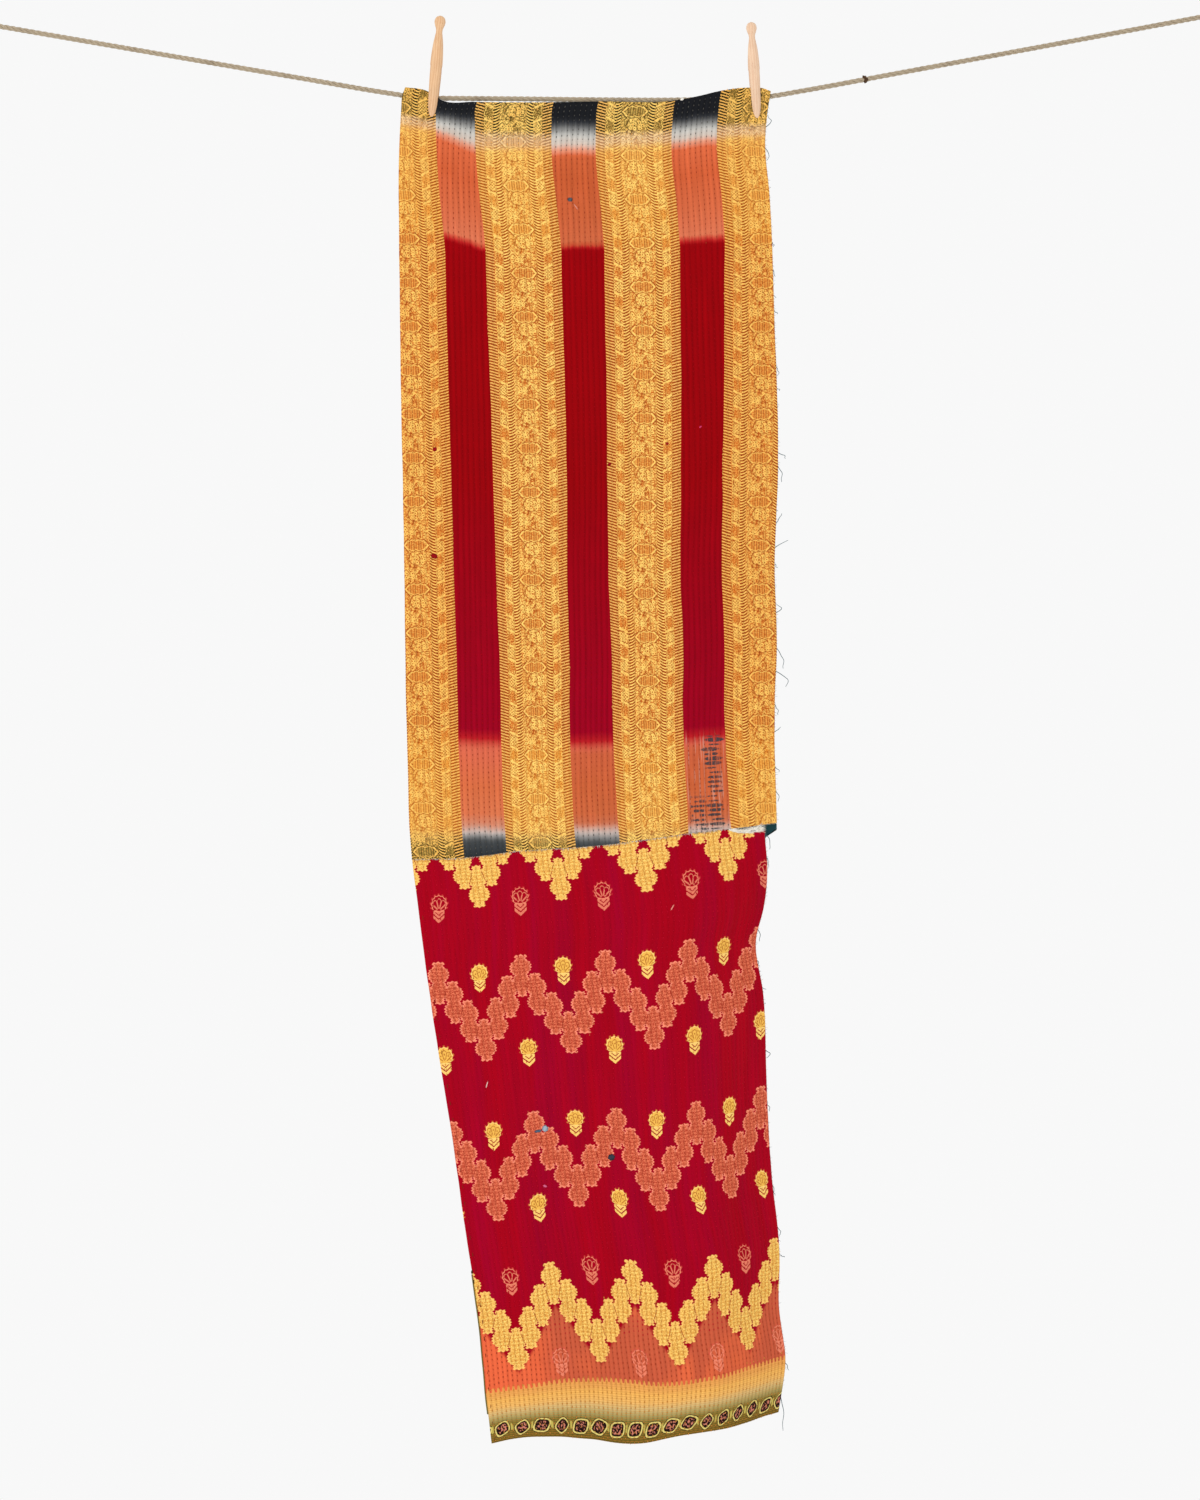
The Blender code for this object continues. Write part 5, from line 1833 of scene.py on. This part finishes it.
class KANTHA_OT_materials(bpy.types.Operator):
    """Make the cloths', thread's, rope's and wood's finishes"""

    bl_idname = "kantha.materials"
    bl_label = "Finishes"

    def execute(self, context):
        dyes = context.scene.kantha_dyes
        for group in (weave_group, streak_group, worn_group,
                      gold_band_group, medallion_group, buti_group):
            group()
        for finish in (striped_finish, zigzag_finish, backing_finish, rope_finish):
            finish(dyes)
        raw_edge_finish()
        thread_finish()
        wood_finish("warm_beech", tuple(dyes.warm_beech), srgb(206, 152, 104))
        wood_finish("pale_beech", tuple(dyes.pale_beech), srgb(218, 172, 138))
        return {"FINISHED"}


class KANTHA_OT_stage(bpy.types.Operator):
    """Set the camera, the soft lights and the pale floor"""

    bl_idname = "kantha.stage"
    bl_label = "Stage"

    def execute(self, context):
        settings = context.scene.kantha_stage
        low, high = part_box("backing")
        right, up = VIEW_MIDDLE
        middle = Vector(((low.x + high.x) / 2 + right, 0.0, (low.z + high.z) / 2 + up))
        camera_data = bpy.data.cameras.new("camera")
        camera_data.sensor_width = 36.0
        camera_data.lens = 36.0 * settings.camera_distance / settings.view_height
        camera = linked(bpy.data.objects.new("camera", camera_data))
        camera.location = middle + Vector((0.0, -settings.camera_distance, 0.0))
        camera.rotation_euler = (math.pi / 2, 0.0, 0.0)
        context.scene.camera = camera

        world = bpy.data.worlds.new("pale_room")
        world.use_nodes = True
        sky = world.node_tree.nodes["Background"]
        feed((1.0, 1.0, 1.0, 1.0), sky.inputs["Color"])
        feed(settings.room_light, sky.inputs["Strength"])
        context.scene.world = world

        for name, place, size, power in (
                ("key", (-1.6, -2.4, 0.6), 1.4, settings.key_power),
                ("fill", (2.4, -2.8, -0.6), 1.8, settings.key_power * 0.25)):
            lamp_data = bpy.data.lights.new(name, "AREA")
            lamp_data.shape = "DISK"
            lamp_data.size = size
            lamp_data.energy = power
            lamp = linked(bpy.data.objects.new(name, lamp_data))
            lamp.location = middle + Vector(place)
            lamp.rotation_euler = (-Vector(place)).to_track_quat("-Z", "Y").to_euler()

        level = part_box("zigzag_panel")[0].z - FLOOR_DROP
        mesh = bpy.data.meshes.new("floor")
        corners = [(x, y, level) for x, y in ((-1.6, -1.6), (3.0, -1.6), (3.0, 0.55), (-1.6, 0.55))]
        mesh.from_pydata(corners, [], [(0, 1, 2, 3)])
        tree, shader = new_material("pale_floor")
        mottle = noise_at(tree.nodes.new("ShaderNodeTexCoord").outputs["Object"], 3.0, 3.0)
        feed(colour_mix(mottle, srgb(240, 240, 239), srgb(246, 246, 246)), shader.inputs["Base Color"])
        feed(0.9, shader.inputs["Roughness"])
        floor = linked(finished(bpy.data.objects.new("floor", mesh), "pale_floor"))
        context.scene.view_settings.view_transform = "Standard"
        return {"FINISHED"}


class KANTHA_OT_rope(bpy.types.Operator):
    """Lay the taut rope and its two eyes"""

    bl_idname = "kantha.rope"
    bl_label = "Rope"

    def execute(self, context):
        settings = context.scene.kantha_rope
        route, at = rope_route(settings.ring_step)
        rope = finished(laid_strands("rope", route, at, settings.strand_radius), "rope_fibre")
        for name, eye, towards in (("end_loop_left", LEFT_EYE, ROPE_POINTS[0]),
                                   ("end_loop_right", RIGHT_EYE, ROPE_POINTS[-1])):
            loop = finished(end_loop(name + "_rope", eye, towards), "rope_fibre")
            cover(loop, "rope", name)
        cover(rope, "rope", "rope_line")
        return {"FINISHED"}


class KANTHA_OT_pegs(bpy.types.Operator):
    """Turn the two dolly pegs"""

    bl_idname = "kantha.pegs"
    bl_label = "Pegs"

    def execute(self, context):
        for (name, tip_x, tip_z, lean, size), wood in zip(PEGS, ("warm_beech", "pale_beech")):
            peg = make_peg(name, tip_x, tip_z, lean, size, PEG_SIDES)
            cover(finished(peg, wood), "peg_wood", name)
        return {"FINISHED"}


class KANTHA_OT_panels(bpy.types.Operator):
    """Hang the striped panel, the crimson panel and the backing"""

    bl_idname = "kantha.panels"
    bl_label = "Panels"

    def execute(self, context):
        relief = context.scene.kantha_cloth.rib_relief
        striped = make_layer(STRIPED, (4, 2), (2, 8), striped_pattern, relief,
                             ("striped_cotton", "raw_edge"))
        zigzag = make_layer(ZIGZAG, (4, 2), (2, 8), zigzag_pattern, relief,
                            ("crimson_cotton", "raw_edge"))
        backing = make_layer(BACKING, (2, 2), (4, 4), plain_pattern, relief * 0.7,
                             ("teal_cotton", "teal_cotton"))
        cover(striped, "striped_sari", "striped_panel")
        cover(zigzag, "crimson_sari", "zigzag_panel")
        cover(backing, "teal_backing", "backing")
        return {"FINISHED"}


class KANTHA_OT_stitches(bpy.types.Operator):
    """Sew the rows of running stitch"""

    bl_idname = "kantha.stitches"
    bl_label = "Running Stitches"

    def execute(self, context):
        settings = context.scene.kantha_cloth
        for layer, pattern, slot in ((STRIPED, striped_pattern, "striped_sari"),
                                     (ZIGZAG, zigzag_pattern, "crimson_sari"),
                                     (BACKING, plain_pattern, "teal_backing")):
            stitches = make_stitches(layer, pattern, settings.stitch_length,
                                     settings.thread_width, settings.thread_width * 0.55)
            cover(stitches, slot)
        return {"FINISHED"}


class KANTHA_OT_frayed_edges(bpy.types.Operator):
    """Fray the raw edges, and sew the long stitches beside the left one"""

    bl_idname = "kantha.frayed_edges"
    bl_label = "Frayed Edges"

    def execute(self, context):
        cover(fringe("seam_fringe", STRIPED, "bottom", 720, WHITE_THREADS, 2.3 * MM, 0.46 * MM, 0.5),
              "striped_sari")
        cover(raw_strip("raw_seam_strip", ZIGZAG, 340, 0.90, 0.99), "crimson_sari")
        for name, layer, count, length, slot in (
                ("right_fringe", STRIPED, 360, 1.9 * MM, "striped_sari"),
                ("lower_right_fringe", ZIGZAG, 330, 2.1 * MM, "crimson_sari")):
            cover(fringe(name, layer, "right", count, TEAL_THREADS, length, 0.34 * MM, 0.7), slot)
        for name, layer, threads in (("loose_threads", STRIPED, LOOSE_THREADS),
                                     ("lower_loose_threads", ZIGZAG, LOWER_THREADS)):
            cover(threaded(loose_threads(name, layer, threads), srgb(72, 94, 100)), "teal_backing")

        # A thin olive line of the backing shows low on the left edge.
        places, normals, ways = edge_line(ZIGZAG, "left", 200)
        low = (places[:, 2] < OLIVE_LINE[0]) & (places[:, 2] > OLIVE_LINE[1])
        route = places[low] + ways[low] * 0.5 * MM
        line = tube("left_olive_line", route, 0.7 * MM, 5, np.arange(len(route)) * 0.001)
        cover(threaded(line, srgb(112, 104, 52)), "teal_backing")

        # A dark knot of thread on the rope, beside the right peg.
        knot = sewn("rope_knot", thread_grain,
                    [(0.9560, -0.0012, -0.0636), (0.9572, -0.0016, -0.0648), (0.9552, -0.0010, -0.0622)],
                    [(0.0, -1.0, 0.1)] * 3, [(0.1, 0.0, 1.0), (0.5, 0.0, 1.0), (-0.6, 0.0, 1.0)],
                    [srgb(84, 62, 44)] * 3, (8.0 * MM, 3.4 * MM, 5.0 * MM, 0.15))
        cover(knot, "rope")
        cover(specks("upper_specks", STRIPED, True), "striped_sari")
        cover(specks("lower_specks", ZIGZAG, False), "crimson_sari")

        # Long stitches beside the left edge hold the layers together.
        for name, layer, count, shade in (
                ("left_hem_stitches", STRIPED, 47, srgb(170, 96, 44)),
                ("lower_left_hem_stitches", ZIGZAG, 36, srgb(120, 40, 22))):
            places, normals, ways = edge_line(layer, "left", count)
            along = np.gradient(places, axis=0)
            stitches = sewn(name, thread_grain, places - ways * 3.6 * MM, normals, along,
                            [shade] * count, (6.0 * MM, 1.1 * MM, 1.0 * MM, 0.25))
            cover(stitches, "striped_sari")
        return {"FINISHED"}


OPERATORS = (KANTHA_OT_materials, KANTHA_OT_stage, KANTHA_OT_rope, KANTHA_OT_pegs,
             KANTHA_OT_panels, KANTHA_OT_stitches, KANTHA_OT_frayed_edges)
SETTINGS = (("kantha_cloth", KanthaClothSettings), ("kantha_dyes", KanthaDyeSettings),
            ("kantha_rope", KanthaRopeSettings), ("kantha_stage", KanthaStageSettings))


class KANTHA_PT_sidebar(bpy.types.Panel):
    """The settings and the steps of the kantha cloth"""

    bl_idname = "KANTHA_PT_sidebar"
    bl_label = "Kantha Cloth"
    bl_space_type = "VIEW_3D"
    bl_region_type = "UI"
    bl_category = "Kantha"

    def draw(self, context):
        for name, group in SETTINGS:
            box = self.layout.box()
            settings = getattr(context.scene, name)
            for key in group.__annotations__:
                box.prop(settings, key)
        for operator in OPERATORS:
            self.layout.operator(operator.bl_idname)


def register():
    for name, group in SETTINGS:
        bpy.utils.register_class(group)
        setattr(bpy.types.Scene, name, bpy.props.PointerProperty(type=group))
    for operator in OPERATORS:
        bpy.utils.register_class(operator)
    bpy.utils.register_class(KANTHA_PT_sidebar)


def unregister():
    bpy.utils.unregister_class(KANTHA_PT_sidebar)
    for operator in reversed(OPERATORS):
        bpy.utils.unregister_class(operator)
    for name, group in reversed(SETTINGS):
        delattr(bpy.types.Scene, name)
        bpy.utils.unregister_class(group)


def main():
    register()
    bpy.ops.kantha.materials()
    bpy.ops.kantha.stage()
    bpy.ops.kantha.rope()
    bpy.ops.kantha.pegs()
    bpy.ops.kantha.panels()
    bpy.ops.kantha.stitches()
    bpy.ops.kantha.frayed_edges()


if __name__ == "__main__":
    main()
